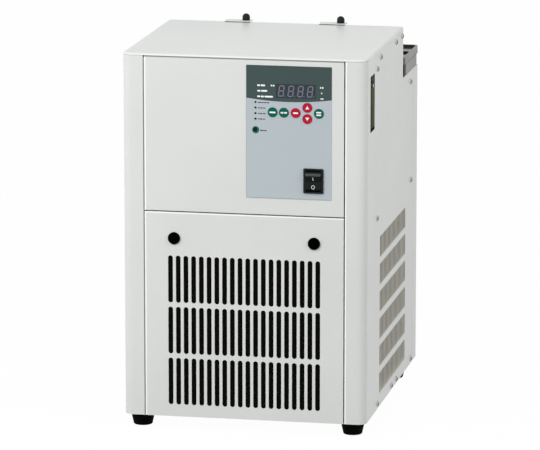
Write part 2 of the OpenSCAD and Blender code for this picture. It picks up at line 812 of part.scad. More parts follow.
// Key with its cap through the overlay, a flange behind the panel and a stem to its contact
module key(i) {
    seat() translate([key_spots[i].x, 0, key_spots[i].y]) rotate([-90, 0, 0]) {
        translate([0, 0, -overlay_t - key_proud])
            cylinder(r = key_r, h = overlay_t + key_proud + sheet + 0.05);
        translate([0, 0, sheet + 0.05]) cylinder(r = key_flange_r, h = key_flange_t);
        translate([0, 0, sheet + key_flange_t]) cylinder(r = 1.6, h = key_stem_end - sheet - 1);
    }
}

module mode_key() color([0.04, 0.37, 0.3]) key(0);
module pump_key() color([0.04, 0.37, 0.3]) key(1);
module set_key() color([0.63, 0.11, 0.2]) key(2);
module up_key() color([0.63, 0.11, 0.2]) key(3);
module down_key() color([0.63, 0.11, 0.2]) key(4);
module run_key() color([0.04, 0.37, 0.3]) key(5);

// Quarter-turn fastener: a head on the panel and a stud with a cross pin behind the rail
module fastener(x) {
    seat() translate([x, 0, fastener_z]) rotate([-90, 0, 0]) {
        translate([0, 0, -1.8]) difference() {
            cylinder(r = fastener_r, h = 1.8);
            translate([0, 0, -1]) difference() {
                cylinder(r = fastener_r - 1.6, h = 1.6);
                translate([0, 0, -1]) cylinder(r = fastener_r - 3.2, h = 4);
            }
        }
        cylinder(r = fastener_r - 0.6, h = 4);
        cylinder(r = 3.95, h = rail_y + sheet + 7);
        translate([-7, -1.5, rail_y + sheet + 0.4]) cube([14, 3, 3]);
    }
}

module left_fastener() color(black) fastener(-fastener_x);
module right_fastener() color(black) fastener(fastener_x);

module knob_brackets() color(paint) seat() difference() {
    for (s = [-1, 1]) translate([s * bracket_x, 0, 0]) {
        span([-15.5, notch_y - 2, housing_h], [15.5, notch_y + 10, housing_h + sheet]);
        span([-15.5, notch_y, housing_h - 20], [15.5, notch_y + sheet, housing_h + sheet]);
    }
    for (x = knob_x) translate([x, notch_y + 5.6, housing_h - 5]) cylinder(r = 2.05, h = 10);
    for (s = [-1, 1]) translate([s * bracket_x, notch_y - 5, housing_h - 12])
        rotate([-90, 0, 0]) cylinder(r = screw_r + 0.1, h = 10);
}

// Thumb screw with a domed head on its bracket
module thumb_screw(x) {
    seat() translate([x, notch_y + 5.6, housing_h + sheet + 0.05]) {
        rotate_extrude() {
            square([thumb_r, thumb_h - thumb_r]);
            translate([0, thumb_h - thumb_r]) intersection() {
                circle(thumb_r);
                square(thumb_r);
            }
            translate([0, -12]) square([2, 12]);
        }
    }
}

module left_thumb_screw() color(black) thumb_screw(knob_x[0]);
module right_thumb_screw() color(black) thumb_screw(knob_x[1]);

// Outside of the reservoir and its neck, shrunk by a wall thickness
module tank_envelope(inset) {
    w = tank_w / 2 - inset;
    span([-w, tank_y + inset, tank_z + inset], [w, tank_rear - inset, tank_top - inset]);
    span([-w, neck_y + inset, tank_z + inset], [w, tank_rear - inset,
        rim_z - sheet + (inset > 0 ? 1 : 0)]);
}

module reservoir_tank() color(steel) seat() difference() {
    union() {
        difference() {
            tank_envelope(0);
            tank_envelope(sheet);
        }
        for (p = tank_ports) bar([p.x, p.y, deck_z - 8], [p.x, p.y, tank_z + 0.4], hose_r);
    }
    for (p = tank_ports) translate([p.x, p.y, deck_z - 20])
        cylinder(r = hose_r - 1.5, h = tank_z - deck_z + 30);
    for (x = [coil_x, suction_x]) translate([x, coil_y, tank_top - 5])
        cylinder(r = coil_r + 0.1, h = 10);
    for (x = [-20, 20]) translate([x, heater_y, tank_top - 5]) cylinder(r = 4.1, h = 10);
    translate([60, heater_y, tank_top - 5]) cylinder(r = 2.6, h = 10);
}

module tank_insulation() color([0.1, 0.1, 0.1]) seat() difference() {
    union() {
        span([-foam_w, tank_y - 12, deck_top], [foam_w, inner_rear - 0.3, tank_top]);
        span([-foam_w, notch_y + 0.3, tank_top - 1], [foam_w, rim_y, rim_z - sheet - 0.3]);
        level(tank_top - 1, rim_z - sheet + 1 - tank_top) skirt_plan(sheet + 0.2);
    }
    tank_envelope(0);
    for (p = tank_ports) bar([p.x, p.y, deck_z - 8], [p.x, p.y, tank_z + 1], hose_r + 0.2);
    bar([outlet_x, tank_y - 20, tank_z + 17], [outlet_x, tank_y + 1, tank_z + 17], 4.2);
    side_screw_bores();
    rear_screw_bores();
    for (s = [-1, 1]) along(s < 0 ? -half_w : inner_w - 2 * sheet, 3 * sheet)
        translate([side_d - 11, deck_z]) square([22, notch_z - deck_z]);
}

// Outline of the rim's skirt seen from above, or of a face inside it
module skirt_plan(inset) {
    translate([-skirt_w + inset, rim_y + inset])
        rounded(2 * (skirt_w - inset), rim_rear - rim_y - 2 * inset, rim_r - inset);
}

// Rim folded out over the foam, with a skirt that stands round the reservoir's neck
module tank_rim() color(steel) seat() difference() {
    union() {
        level(rim_z - sheet, rim_h + sheet) translate([-rim_w, rim_y - rim_shelf])
            rounded(2 * rim_w, rim_rear - rim_y + rim_shelf + rim_over, rim_r);
        level(notch_z + 0.3, rim_lift - 1.3) difference() {
            skirt_plan(0);
            skirt_plan(sheet);
        }
    }
    for (lid = lid_spans) {
        level(rim_z, rim_h + 1) translate([-lid_x, lid.x]) rounded(2 * lid_x, lid.y, 4);
        level(rim_z - 3, 6) translate([-tank_w / 2 + ledge, lid.x + ledge])
            square([tank_w - 2 * ledge, lid_d - 2 * ledge]);
    }
}

module tank_lids() color(black) seat() for (lid = lid_spans) {
    level(rim_z, rim_h - lid_sunk) translate([-lid_x + lid_gap, lid.x + lid_gap])
        rounded(2 * (lid_x - lid_gap), lid.y - 2 * lid_gap, 4 - lid_gap);
    level(rim_top - lid_sunk - 1, 2.6) translate([-90, lid.x + lid_d / 2 - 2.5])
        rounded(180, 5, 2.4);
}

module evaporator_coil() color([0.72, 0.45, 0.2]) seat() {
    low = tank_z + 22;
    pass = [for (i = [0 : 3]) low + i * coil_pitch];
    pipe_run([
        [coil_x, coil_y, pipe_z], [coil_x, coil_y, pass[3]], [coil_end, coil_y, pass[3]],
        [coil_end, coil_y, pass[2]], [coil_x + 10, coil_y, pass[2]],
        [coil_x + 10, coil_y, pass[1]], [coil_end, coil_y, pass[1]],
        [coil_end, coil_y, pass[0]], [suction_x, coil_y, pass[0]], [suction_x, coil_y, pipe_z]
    ], coil_r, coil_pitch / 2);
}

module immersion_heater() color(steel) seat() translate([0, heater_y, 0]) {
    low = tank_z + 30;
    for (x = [-20, 20]) bar([x, 0, low], [x, 0, tank_top + 6], 4);
    translate([0, 0, low]) rotate([-90, 0, 0]) rotate_extrude(angle = 180)
        translate([20, 0]) circle(4);
    span([-32, -14, tank_top], [32, 14, tank_top + 3]);
    for (x = [-20, 20]) bar([x, 0, tank_top + 3], [x, 0, tank_top + 14], 5.5);
}

module temperature_sensor() color(steel) seat() translate([60, heater_y, 0]) {
    bar([0, 0, tank_z + 40], [0, 0, tank_top + 8], 2.5);
    translate([0, 0, tank_top]) cylinder(r = 8, h = 4, $fn = 6);
    bar([0, 0, tank_top + 4], [0, 0, tank_top + 20], 4);
}

module gauge_holder() color(black) seat() difference() {
    union() {
        difference() {
            span([inner_w - 15, window_y - 3, window_z - 7],
                [inner_w, window_y + window_w + 3, window_z + window_h + 5]);
            span([inner_w - 12, window_y + 1, window_z - 1],
                [inner_w + 1, window_y + window_w - 1, window_z + window_h + 1]);
        }
        for (z = [window_z - 1, window_z + window_h - 13])
            bar([gauge_x, gauge_y, z], [gauge_x, gauge_y, z + 14], 6.6);
    }
    bar([gauge_x, gauge_y, window_z - 8], [gauge_x, gauge_y, window_z + window_h + 2],
        sight_r + 0.05);
}

module sight_tube() color([0.6, 0.62, 0.5, 0.6]) seat() difference() {
    bar([gauge_x, gauge_y, window_z - 4], [gauge_x, gauge_y, window_z + window_h + 2], sight_r);
    bar([gauge_x, gauge_y, window_z - 5], [gauge_x, gauge_y, window_z + window_h + 3],
        sight_r - 1);
}

module gauge_pipe() color(black) seat() {
    pipe_run([
        [gauge_x, gauge_y, window_z - 4], [gauge_x, gauge_y, tank_z + 17],
        [gauge_x, gauge_leg_y, tank_z + 17], [outlet_x, gauge_leg_y, tank_z + 17],
        [outlet_x, tank_y, tank_z + 17]
    ], 4, 10);
}

module dust_filter() color(black) seat()
    span([-95, filter_y - 0.4, front_slot_z - 1.2], [95, filter_y + filter_t,
        front_slot_z + (front_rows - 1) * front_row + front_slot + 3]);

module condenser() color([0.75, 0.76, 0.76]) seat() {
    count = floor(condenser_w / fin_pitch);
    for (i = [0 : count]) translate([-condenser_w / 2 + i * fin_pitch, condenser_y, condenser_z])
        cube([0.6, condenser_d, condenser_h]);
    for (row = [0 : 5], y = [liquid_y, gas_y]) {
        z = condenser_z + condenser_h * (row + 0.5) / 6;
        bar([-header_x, y, z], [header_x, y, z], 4);
    }
    for (s = [-1, 1]) span([s * (condenser_w / 2 + 1.5) - 1, condenser_y, sheet],
        [s * (condenser_w / 2 + 1.5) + 1, condenser_y + condenser_d, condenser_z + condenser_h]);
}

module fan_shroud() color([0.3, 0.31, 0.31]) seat() difference() {
    union() {
        across(shroud_y, sheet) translate([-condenser_w / 2 - 2, sheet])
            square([condenser_w + 4, condenser_z + condenser_h - sheet]);
        translate([0, shroud_y, fan_z]) rotate([-90, 0, 0]) cylinder(r = fan_r + 5, h = 34);
    }
    translate([0, shroud_y - 1, fan_z]) rotate([-90, 0, 0]) cylinder(r = fan_r + 3, h = 40);
}

module fan_rotor() color([0.15, 0.15, 0.16]) seat() translate([0, fan_y, fan_z])
    rotate([-90, 0, 0]) difference() {
        union() {
            translate([0, 0, -fan_depth / 2]) cylinder(r = hub_r, h = fan_depth);
            intersection() {
                for (i = [0 : fan_blades - 1]) rotate([0, 0, i * 360 / fan_blades])
                    rotate([90 - blade_angle, 0, 0]) translate([hub_r - 4, -20, -0.9])
                        cube([fan_r, 40, 1.8]);
                translate([0, 0, -fan_depth / 2]) cylinder(r = fan_r, h = fan_depth);
            }
        }
        translate([0, 0, -4]) cylinder(r = fan_shaft_r + pin_gap, h = fan_depth);
    }

module fan_motor() color([0.35, 0.36, 0.37]) seat() translate([0, 0, fan_z]) {
    rotate([-90, 0, 0]) {
        translate([0, 0, motor_y]) cylinder(r = 30, h = motor_len);
        translate([0, 0, fan_y - 3.5]) cylinder(r = fan_shaft_r, h = motor_y - fan_y + 5);
    }
    across(motor_y + motor_len - 0.5, 2.5) translate([-12, sheet - fan_z])
        square([24, fan_z - sheet + 20]);
    span([-12, motor_y + motor_len, sheet - fan_z], [12, motor_y + motor_len + 20,
        sheet - fan_z + 2]);
}

module compressor() color(black) seat() translate([compressor_x, compressor_y, compressor_z]) {
    rotate_extrude() {
        square([compressor_r, compressor_h - dome_h]);
        intersection() {
            translate([0, compressor_h - dome_r]) circle(dome_r);
            translate([0, compressor_h - dome_h]) square([compressor_r, dome_h + 1]);
        }
        translate([0, compressor_h * 0.55]) square([compressor_r + 2.5, 4]);
    }
    translate([suction_x - compressor_x, 0, suction_z - compressor_z])
        bar([0, -5, 0], [0, -56, 0], 5);
    translate([0, 0, discharge_z - compressor_z])
        pipe_run([[0, -30, 0], [discharge_x - compressor_x, -30, 0],
            [discharge_x - compressor_x, -50, 0]], 4, 8);
    difference() {
        translate([-compressor_r, -compressor_r, -3]) cube([2 * compressor_r,
            2 * compressor_r, 3.5]);
        for (x = [-1, 1], y = [-1, 1])
            translate([x * (compressor_r - 9), y * (compressor_r - 9), -4])
                cylinder(r = 5.05, h = 6);
    }
}

module compressor_mounts() color([0.12, 0.12, 0.12]) seat()
    for (x = [-1, 1], y = [-1, 1]) translate([compressor_x + x * (compressor_r - 9),
        compressor_y + y * (compressor_r - 9), sheet]) {
        cylinder(r = 8, h = compressor_z - 3 - sheet);
        cylinder(r = 5, h = compressor_z - sheet + 4);
    }

module filter_drier() color([0.72, 0.45, 0.2]) seat() {
    z = condenser_z + condenser_h / 12;
    translate([drier_x, liquid_y, drier_z]) rotate_extrude()
        polygon([[0, 0], [3.4, 0], [8, 10], [8, 60], [3, 70], [0, 70]]);
    pipe_run([[-header_x, liquid_y, z], [drier_x, liquid_y, z], [drier_x, liquid_y, drier_z + 1]],
        3, 8);
}

module discharge_pipe() color([0.72, 0.45, 0.2]) seat()
    pipe_run([[discharge_x, compressor_y - 50, discharge_z], [discharge_x, gas_y, discharge_z],
        [-header_x, gas_y, discharge_z]], 4, 12);

module suction_pipe() color([0.72, 0.45, 0.2]) seat()
    pipe_run([[suction_x, coil_y, pipe_z], [suction_x, coil_y, pipe_z + 12],
        [suction_x, suction_y, pipe_z + 12], [suction_x, suction_y, suction_z],
        [suction_x, compressor_y - 56, suction_z]], 5, 11);

module capillary_tube() color([0.72, 0.45, 0.2]) seat()
    pipe_run([[drier_x, liquid_y, drier_z + 70], [drier_x, liquid_y, pipe_z + 26],
        [drier_x, coil_y, pipe_z + 26], [coil_x, coil_y, pipe_z + 26], [coil_x, coil_y, pipe_z]],
        1.5, 8);

module pump_motor() color([0.3, 0.35, 0.42]) seat() {
    bar([pump_x, pump_y + 4, pump_z], [pump_x, pump_y + 4 + pump_len, pump_z], pump_r);
    span([pump_x - 22, pump_y + 10, sheet], [pump_x + 22, pump_y + 60, pump_z - pump_r + 6]);
}

module pump_head() color([0.2, 0.22, 0.24]) seat() difference() {
    union() {
        bar([pump_x, pump_y - pump_head_d, pump_z], [pump_x, pump_y + 4, pump_z], pump_r + 2);
        bar([pump_x, pump_y - pump_head_d - 12, pump_z], [pump_x, pump_y, pump_z], 8);
        bar([pump_x, pump_spout_y, pump_z], [pump_x, pump_spout_y, pump_spout_z], 8);
    }
    difference() {
        bar([pump_x, pump_y - pump_head_d + 3, pump_z], [pump_x, pump_y, pump_z], pump_r - 2);
        bar([pump_x, pump_y - 8, pump_z], [pump_x, pump_y + 1, pump_z], spindle_r);
    }
    bar([pump_x, pump_y - 40, pump_z], [pump_x, pump_y - 22, pump_z], 4.5);
    bar([pump_x, pump_spout_y, pump_z + 20], [pump_x, pump_spout_y, pump_spout_z + 1], 4.5);
}

module pump_impeller() color([0.85, 0.85, 0.82]) seat() translate([pump_x, pump_y, pump_z])
    rotate([90, 0, 0]) difference() {
        union() {
            translate([0, 0, 1]) cylinder(r = 26, h = 5);
            translate([0, 0, 5]) cylinder(r = 7, h = 8);
            for (i = [0 : 5]) rotate([0, 0, 60 * i]) translate([5, -1, 5]) cube([20, 2, 8]);
        }
        translate([0, 0, -1]) cylinder(r = spindle_r + pin_gap, h = 9.4);
    }

module coolant_pipes() color([0.75, 0.75, 0.72]) seat() {
    low = deck_z - 8;
    pipe_run([[pump_x, pump_y - 38, pump_z], [pump_x, tank_ports[0].y, pump_z],
        [pump_x, tank_ports[0].y, low]], hose_r, hose_bend);
    pipe_run([[pump_x, pump_spout_y, pump_spout_z], [pump_x, pump_spout_y, nozzle_z],
        [outlet_x, inner_rear - 10, nozzle_z]], hose_r, hose_bend);
    pipe_run([[return_x, inner_rear - 10, nozzle_z], [return_x, tank_ports[1].y, nozzle_z],
        [return_x, tank_ports[1].y, low]], hose_r, hose_bend);
    pipe_run([[drain_x, tank_ports[2].y, low], [drain_x, tank_ports[2].y, drain_z],
        [drain_x, inner_rear - 12, drain_z]], hose_r, 10);
}

module hose_nozzles() color(steel) seat()
    for (x = [outlet_x, return_x]) translate([x, inner_rear, nozzle_z]) rotate([-90, 0, 0])
        difference() {
            union() {
                translate([0, 0, -10]) cylinder(r = nozzle_r + 1.4, h = 12);
                translate([0, 0, -5]) cylinder(r = nozzle_r + 4, h = 5);
                translate([0, 0, sheet]) cylinder(r = nozzle_r + 4.5, h = 6, $fn = 6);
                translate([0, 0, sheet]) cylinder(r = nozzle_r, h = nozzle_reach - 1);
                translate([0, 0, nozzle_reach - 1 + sheet])
                    cylinder(r1 = nozzle_r, r2 = nozzle_r - 0.8, h = 1);
            }
            translate([0, 0, -11]) cylinder(r = nozzle_bore_r, h = nozzle_reach + 20);
        }

module drain_cock() color([0.72, 0.6, 0.3]) seat() translate([drain_x, inner_rear, drain_z])
    rotate([-90, 0, 0]) difference() {
        union() {
            translate([0, 0, -12]) cylinder(r = 7.5, h = 16);
            translate([0, 0, sheet]) cylinder(r = 10, h = 5, $fn = 6);
            translate([0, 0, 4]) cylinder(r = 8, h = 14);
            translate([0, 0, 14]) cylinder(r = 5.25, h = nozzle_reach - 14 + sheet);
            translate([0, 0, 12]) rotate([90, 0, 0]) cylinder(r = 6, h = 12);
        }
        translate([0, 0, 14]) cylinder(r = 3, h = nozzle_reach);
        translate([0, 0, 12]) rotate([90, 0, 0]) cylinder(r = 3 + pin_gap, h = 20);
    }

module drain_lever() color([0.1, 0.25, 0.6]) seat()
    translate([drain_x, inner_rear + 12, drain_z]) {
        translate([0, 0, 2]) cylinder(r = 3, h = 12);
        translate([0, 0, 12.3]) linear_extrude(3) {
            circle(6.5);
            translate([0, -4]) square([26, 8]);
            translate([26, 0]) circle(4);
        }
    }

module power_inlet() color(black) seat() translate([inlet_x, inner_rear, inlet_z]) difference() {
    union() {
        across(-inlet_deep, inlet_deep + sheet + 1) translate([-inlet_w / 2, -inlet_h / 2])
            square([inlet_w, inlet_h]);
        across(sheet, inlet_flange) translate([-25, -12]) rounded(50, 24, 3);
    }
    across(-17, 24) translate([-12, -7.5]) square([24, 15]);
    for (s = [-1, 1]) bar([20 * s, 0, 0], [20 * s, 10, 0], screw_r + 0.1);
}

base_chassis();
left_side_cover();
right_side_cover();
top_cover();
upper_front_panel();
lower_front_grille();
rear_panel();
recess_wall();
front_rail();
middle_deck();
rubber_feet();
cover_screws();
control_overlay();
display_module();
indicator_lamps();
control_board();
power_supply();
switch_body();
switch_rocker();
mode_key();
pump_key();
set_key();
up_key();
down_key();
run_key();
left_fastener();
right_fastener();
knob_brackets();
left_thumb_screw();
right_thumb_screw();
reservoir_tank();
tank_insulation();
tank_rim();
tank_lids();
evaporator_coil();
immersion_heater();
temperature_sensor();
gauge_holder();
sight_tube();
gauge_pipe();
dust_filter();
condenser();
fan_shroud();
fan_motor();
fan_rotor();
compressor();
compressor_mounts();
filter_drier();
discharge_pipe();
suction_pipe();
capillary_tube();
pump_motor();
pump_head();
pump_impeller();
coolant_pipes();
hose_nozzles();
drain_cock();
drain_lever();
power_inlet();
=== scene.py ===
# Finishes, prints and small fittings of a benchtop heating and cooling circulator

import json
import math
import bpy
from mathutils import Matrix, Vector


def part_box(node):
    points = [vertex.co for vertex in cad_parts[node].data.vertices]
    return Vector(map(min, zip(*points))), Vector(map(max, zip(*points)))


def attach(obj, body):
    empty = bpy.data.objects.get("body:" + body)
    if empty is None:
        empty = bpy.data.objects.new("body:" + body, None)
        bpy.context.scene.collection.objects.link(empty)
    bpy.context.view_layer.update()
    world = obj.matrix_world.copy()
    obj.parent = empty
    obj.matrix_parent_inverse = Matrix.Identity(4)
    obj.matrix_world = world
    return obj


bl_info = {
    "name": "Heating and cooling circulator",
    "version": (1, 0, 0),
    "blender": (4, 5, 0),
    "location": "3D View > Sidebar > Circulator",
    "description": "Dresses the packed model of a benchtop heating and cooling circulator",
    "category": "Object",
}

import bmesh
import bpy
from bpy.props import FloatProperty, FloatVectorProperty, PointerProperty
from mathutils import Matrix, Vector

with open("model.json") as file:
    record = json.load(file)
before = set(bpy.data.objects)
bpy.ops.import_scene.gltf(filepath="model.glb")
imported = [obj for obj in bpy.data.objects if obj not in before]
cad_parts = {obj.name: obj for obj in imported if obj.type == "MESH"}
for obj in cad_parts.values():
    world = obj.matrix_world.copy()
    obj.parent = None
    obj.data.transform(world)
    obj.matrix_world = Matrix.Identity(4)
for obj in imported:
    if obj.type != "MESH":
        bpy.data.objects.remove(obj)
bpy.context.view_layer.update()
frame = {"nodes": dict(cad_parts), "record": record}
MM = 0.001
# Front face and lower edge of the housing, from which every place below is counted
FRONT_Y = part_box("lower_front_grille")[0][1]
BASE_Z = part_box("lower_front_grille")[0][2]
OVERLAY_LOW, OVERLAY_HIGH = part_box("control_overlay")


def at(x, y, z):
    """Point of the model from millimetres across, behind the front and above the housing's edge."""
    return Vector((x * MM, FRONT_Y + y * MM, BASE_Z + z * MM))


def home(x, y, z):
    """Millimetres across, behind the front and above the housing's edge, from a model point."""
    return Vector((x, y - FRONT_Y, z - BASE_Z)) / MM


def middle(node):
    """Middle of a node's box, in millimetres from the housing's lower front edge."""
    low, high = (home(*corner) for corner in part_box(node))
    return (low + high) / 2


# Sheet panels whose inner faces are left galvanised, their tone kept dark as painted shade for the
# inside of the housing
COVERS = ("left_side_cover", "right_side_cover", "upper_front_panel", "lower_front_grille",
          "rear_panel")
# Bounds of those inner faces: half across, behind the pillars and before the rear panel
INNER_X, INNER_FRONT, INNER_REAR = 138.9, 14.0, 348.7
# Half across to the sides' outer faces, with a little to spare
OUTER_X = 138.7
# Field of the side grilles: its low and high corner in depth and height, then row pitch and height
GRILLE = ((92.0, 15.0), (267.3, 199.5), 32.0, 24.5)
# Shadow in the seam under the top cover: its lowest height and its rear
SHADOW_Z, SHADOW_Y = 415.3, 12.0
# Painted highlight on the rocker's ridge, a paler band: low and high
ROCKER_HIGHLIGHT = (285.3, 288.1)
# Printed overlay: its dark band's foot over its lower edge, and the width of the darker line along
# its left and lower edges
BAND_FOOT, EDGE_LINE_WIDE = 110.3, 0.45
# Height of the liquid in the level gauge, and the depths over which painted shade darkens its front
# edge and painted light brightens it towards its rear
LEVEL, GAUGE_SHADE, GAUGE_PAINTED_LIGHT = 362.0, (24.5, 31.0), (30.0, 46.0)
# Display: digits, their slant, and the radius, gap and rise of each point
DIGITS, SLANT = 4, math.tan(math.radians(7))
POINT_R, POINT_GAP, POINT_RISE = 0.65, 1.5, 0.7
# Rows of bars on the overlay's band: left end, height and the bars' widths
BAND_ROWS = (
    (15.5, 385.9, (3.4, 5.2)), (31.0, 386.1, (1.6, 2.0)), (15.5, 379.7, (4.0, 7.0)),
    (15.5, 373.3, (3.6, 3.6, 9.8)), (87.0, 385.2, (1.6, 1.8)), (88.3, 379.0, (1.2,)),
    (87.6, 372.6, (1.2, 1.6)),
)
# Rows of finer bars on its field: left end, height, the bars' height and widths
FIELD_ROWS = (
    (16.4, 366.4, 1.2, (3.4, 2.6, 2.8, 3.0)), (16.4, 360.2, 1.2, (2.2, 3.0, 2.6)),
    (16.4, 353.9, 1.2, (2.2, 2.8, 3.0)), (16.4, 347.6, 1.2, (1.6, 3.4, 2.4)),
    (18.8, 334.6, 1.4, (4.2, 3.0)),
)
# Printed disc and the dark core on it: centre and radius
FIELD_DISC, DISC_CORE = (13.8, 335.2, 4.1), (13.2, 335.6, 2.6)
# Body that carries each key, and the key's slot
KEYS = {
    "mode_key": ("mode_button", "green_key"), "pump_key": ("pump_button", "green_key"),
    "set_key": ("set_button", "red_key"), "up_key": ("up_button", "red_key"),
    "down_key": ("down_button", "red_key"), "run_key": ("run_button", "green_key"),
}
# Rocker's profile: depth of its pivot, reach of its ridge and of its ends, half height, tilt
ROCKER_PIVOT, ROCKER_RIDGE, ROCKER_REACH, ROCKER_HALF = 4.0, 6.4, 9.0, 7.8
ROCKER_TILT = math.radians(8)
# Marks on it: corners of the line, height of the ring's centre, its outer and inner radius
ROCKER_LINE, RING_Z, RING_RADII = (-0.34, 2.1, 0.34, 5.9), -5.6, (2.0, 1.55)
# Half width of the housing, and seats of the side covers' screws in depth and height
SIDE_X = 140
SIDE_SCREWS = ((238, 408), (197, 407.4), (92.6, 407), (70.6, 396.6), (300, 344), (305, 225),
               (71.5, 224.5), (79, 6), (311, 6), (208.5, 5), (174, 5))
# Middle of each bracket on the top, half across
BRACKET_X = 56.4
# Seats of the screws that face the rear: across, depth and height
REAR_SCREWS = ((-119.37, 350, 345), (0, 350, 345), (119.37, 350, 345), (-119.37, 350, 8),
               (119.37, 350, 8), (-BRACKET_X, 246.2, 406), (BRACKET_X, 246.2, 406),
               (-80, 352.5, 190), (-40, 352.5, 190))
# Level window: inset from its holder's sides, foot and top, then foot's and collar's height
WINDOW_SIDE, WINDOW_FOOT, WINDOW_TOP, FOOT_TALL, COLLAR_TALL = 3.1, 7.1, 5.1, 4.0, 14.5
# Its cut corners, the gap round the pane and the pane's thickness
WINDOW_CUT, PANE_GAP, PANE_THICK = 1.4, 0.1, 1.0
# Painted highlight on its collar, a small white disc: inset, rise, radius, and how far it goes into
# the collar and stands out of it
HIGHLIGHT_INSET, HIGHLIGHT_RISE, HIGHLIGHT_R, HIGHLIGHT_SUNK, HIGHLIGHT_PROUD = 9.0, 1.8, 1.9, 0.4, 0.06
# Grey strips in the seams, painted shade that sets how dark the gaps look: gap beside them,
# shortfall at their ends, foot, height of the upper strip
SEAM_GAP, STRIP_SHORT, STRIP_FOOT, STRIP_TALL = 0.1, 0.5, 1.0, 1.2
# Painted highlights beside them, white strips for the folded edges catching the light: width, foot
# and rise over the upper panel
EDGE_HIGHLIGHT_WIDE, EDGE_HIGHLIGHT_FOOT, EDGE_HIGHLIGHT_RISE = 1.5, 0.2, 0.8
# Front and rear of the strips and of the edge highlights
STRIP_DEPTHS, EDGE_HIGHLIGHT_DEPTHS = (0.9, 1.6), (-0.04, 0.02)
# Dark strips on the top before the brackets, drawing the dark line there: middle, width and depth
# on the top, and thickness
DARK_STRIP_Y, DARK_STRIP_WIDE, DARK_STRIP_DEEP, DARK_STRIP_THICK = 241.0, 31.0, 3.2, 0.3
# Dark strip round the rim, a painted shadow under its lip: front, insets of its outer and inner
# edge, drop from the rim's top, height
RIM_SHADOW_FRONT, RIM_SHADOW_INSETS, RIM_SHADOW_DROP, RIM_SHADOW_TALL = 261.0, (0.65, 1.2), 8.25, 1.0
# Nozzles on the rear panel, across and up, and the depths of their barbs
NOZZLES, BARB_DEPTHS = ((95, 180), (40, 180)), (358.5, 363.5, 368.5)
# Power inlet: centre, blades' places from it, their width, height and depths
INLET, BLADES = (-60, 190), ((-7.0, -1.6), (0.0, 1.9), (7.0, -1.6))
BLADE_WIDE, BLADE_TALL, BLADE_DEPTHS = 2.0, 4.4, (331.9, 345.8)
# Rays that see the surround and the floor as white
RAYS = ("Is Camera Ray", "Is Glossy Ray", "Is Transmission Ray")
SKY, WHITE = (0.97, 0.99, 1.0), (1.0, 1.0, 1.0)
# Floor: half its side in metres, its tone, and the share and strength of its glow for those rays
FLOOR_SIZE, FLOOR_TONE, FLOOR_SHARE, FLOOR_GLOW = 14.0, (0.24, 0.24, 0.235), 0.93, 1.05
# Name, place, size and power of each soft lamp
LAMPS = (
    ("front softbox", (-0.8, -1.6, 1.2), 1.4, 26.5),
    ("right softbox", (1.8, -0.7, 1.3), 1.4, 18.5),
    ("left softbox", (-2.2, -0.5, 0.9), 1.6, 9.0),
)
LAMP_AIM, LAMP_TONE = Vector((0.0, 0.0, 0.22)), (1.0, 0.995, 0.98)
# Width of the camera's sensor in millimetres, and how far it sees in metres
SENSOR, FAR = 36.0, 60.0


def colour(name, default, text):
    """Colour that the user can change."""
    return FloatVectorProperty(name=name, description=text, default=default, size=3,
                               subtype="COLOR", min=0.0, max=1.0)


def length(name, default, text):
    """Length that the user can change, with its default in millimetres."""
    return FloatProperty(name=name, description=text, default=default * MM, unit="LENGTH",
                         subtype="DISTANCE", precision=5)


class CirculatorColours(bpy.types.PropertyGroup):
    enamel: colour("Enamel", (0.70, 0.715, 0.70), "Light grey enamel of the sheet panels")
    film_light: colour("Overlay", (0.468, 0.520, 0.560), "Blue-grey field of the control overlay")
    film_dark: colour("Overlay band", (0.050, 0.078, 0.076), "Dark band round the display")
    display: colour("Display", (0.032, 0.042, 0.052), "Filter window over the digits")
    segment: colour("Segments", (0.15, 0.155, 0.19), "Unlit segments of the digits")
    green: colour("Green keys", (0.003, 0.098, 0.066), "Moulded green keys")
    red: colour("Red keys", (0.40, 0.012, 0.035), "Moulded red keys")
    ink: colour("White print", (0.80, 0.83, 0.82), "White print on keys and band")
    black: colour("Black mouldings", (0.008, 0.010, 0.010), "Switch, knobs, lids and fittings")
    rubber: colour("Rubber", (0.0012, 0.001, 0.001), "Feet and mounts")
    stainless: colour("Stainless steel", (0.12, 0.118, 0.102), "Tank, rim and nozzles")
    # Galvanised inner faces of the panels, their tone also kept dark as painted shade for the
    # inside seen through the grilles
    zinc_and_shade: colour("Zinc", (0.27, 0.257, 0.215), "Zinc-coated steel inside the sheet panels")
    # White of the painted highlights on the folded edges beside the seams
    edge: colour("Edges", (1.0, 1.0, 1.0), "Bright folded edges beside the seams")
    # Grey of the strips in the seams: painted shade for the gaps
    seam: colour("Seams", (0.28, 0.28, 0.27), "Strips that close the left and upper seams")
    tube: colour("Sight tube", (0.088, 0.093, 0.060), "Level gauge's tube")


class CirculatorPrints(bpy.types.PropertyGroup):
    ink_depth: length("Ink depth", 0.05, "Thickness of the printed marks")
    digit_height: length("Digit height", 12.9, "Height of a digit")
    digit_width: length("Digit width", 6.6, "Width of a digit")
    digit_pitch: length("Digit pitch", 10.9, "Distance between the digits")
    segment_width: length("Segment width", 1.25, "Width of a segment")
    bar_height: length("Bar height", 1.9, "Height of the printed bars")
    band_rise: length("Band rise", 3.5, "Height of the band's curved lower edge")


